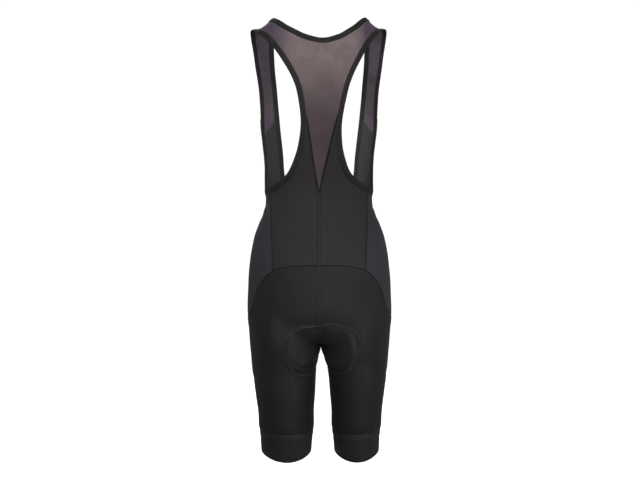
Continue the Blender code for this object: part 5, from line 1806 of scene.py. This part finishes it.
class BibShortsSizes(bpy.types.PropertyGroup):
    """Sizes that a user would change"""
    panel_wall: size_property("Panel wall", "Thickness of the knit panels", 0.0012)
    cuff_wall: size_property("Cuff wall", "Thickness of the gripper bands", 0.0018)
    stitch: size_property("Stitch", "Length of one stitch", 0.0026)
    crease_strength: FloatProperty(name="Creases", description="Depth of the creases, 1 as made",
                                   default=1.0, min=0.0, max=2.0, subtype="FACTOR")


def colour_property(name, description, code):
    return FloatVectorProperty(name=name, description=description, default=linear(code),
                               subtype="COLOR", size=3, min=0.0, max=1.0)


class BibShortsColours(bpy.types.PropertyGroup):
    """Colours that a user would change"""
    panel: colour_property("Panels", "Back cloth", "#262127")
    panel_tint: colour_property("Panels, second", "What the back cloth drifts to", "#221e23")
    # painted light: a shade paler than the back cloth, for the sheen and light on the sides and
    # front straps
    side: colour_property("Sides", "Cloth of the sides and the front straps", "#35323a")
    side_tint: colour_property("Sides, second", "What the side cloth drifts to", "#302d35")
    # partly the knits' plain back, partly painted light on the inner faces
    reverse: colour_property("Reverse", "The plain inner face of the knits", "#4f4c4c")
    # painted highlight: paler where the raised edges of the lapped seams and the pad line catch
    # light
    ridge_highlight: colour_property("Ridges", "Raised edges of the lapped seams and of the pad", "#3a3638")
    # painted highlight: paler than the cuff where the raised band over its seam catches light
    cuff_ridge_highlight: colour_property("Cuff ridges", "Raised band over the seam of a cuff", "#29252b")
    # painted shade: near black where a seam's groove lies in shade
    gap: colour_property("Gaps", "The dark line where two cloths meet in a seam", "#0b0a0b")
    seat: colour_property("Seat", "Seat and leg cloth", "#1d191c")
    seat_tint: colour_property("Seat, second", "What the seat and leg cloth drifts to", "#19161a")
    cuff: colour_property("Cuffs", "Gripper bands", "#231f25")
    mesh: colour_property("Mesh", "Threads of the sheer yoke", "#3e272b")
    # painted light: lighter threads towards the top of the yoke
    mesh_top_painted_light: colour_property("Mesh, top, painted light", "Its threads between the shoulders", "#5f3d41")
    # painted light: paler, bluer threads at the shoulders' ends and front straps
    mesh_side_painted_light: colour_property("Mesh, sides", "Its threads at the shoulders and front", "#5a4b5c")
    binding: colour_property("Bindings", "Folded elastic", "#1f1b1b")
    binding_tint: colour_property("Bindings, second", "What the elastic drifts to", "#1a1717")
    thread: colour_property("Thread", "Sewing thread", "#1f1e1f")
    pad: colour_property("Pad", "Seat pad", "#26272b")
    pad_tint: colour_property("Pad, second", "What the pad drifts to", "#222327")
    silicone: colour_property("Silicone", "Printed gripper dots", "#4a4a4d")
    backdrop: colour_property("Backdrop", "Floor and backdrop", "#f6f6f6")


class BibShortsPanel(bpy.types.Panel):
    """Lists the pieces in the sidebar"""
    bl_idname = "VIEW3D_PT_bib_shorts"
    bl_label = "Cycling bib shorts"
    bl_space_type = "VIEW_3D"
    bl_region_type = "UI"
    bl_category = "Bib shorts"

    def draw(self, context):
        for group in (context.scene.bib_shorts_sizes, context.scene.bib_shorts_colours):
            for key in type(group).__annotations__:
                self.layout.prop(group, key)
        for step in STEPS:
            self.layout.operator(step.bl_idname)


STEPS = (BodyPanels, MeshYoke, Cuffs, Bindings, Seams, CuffStitches, SeatPad, PadStitches, Studio)
CLASSES = (BibShortsSizes, BibShortsColours, *STEPS, BibShortsPanel)


def register():
    for cls in CLASSES:
        bpy.utils.register_class(cls)
    bpy.types.Scene.bib_shorts_sizes = PointerProperty(type=BibShortsSizes)
    bpy.types.Scene.bib_shorts_colours = PointerProperty(type=BibShortsColours)


def unregister():
    del bpy.types.Scene.bib_shorts_colours
    del bpy.types.Scene.bib_shorts_sizes
    for cls in reversed(CLASSES):
        bpy.utils.unregister_class(cls)


def main():
    register()
    lay_creases()
    for step in STEPS:
        group, name = step.bl_idname.split(".")
        getattr(getattr(bpy.ops, group), name)()


if __name__ == "__main__":
    main()
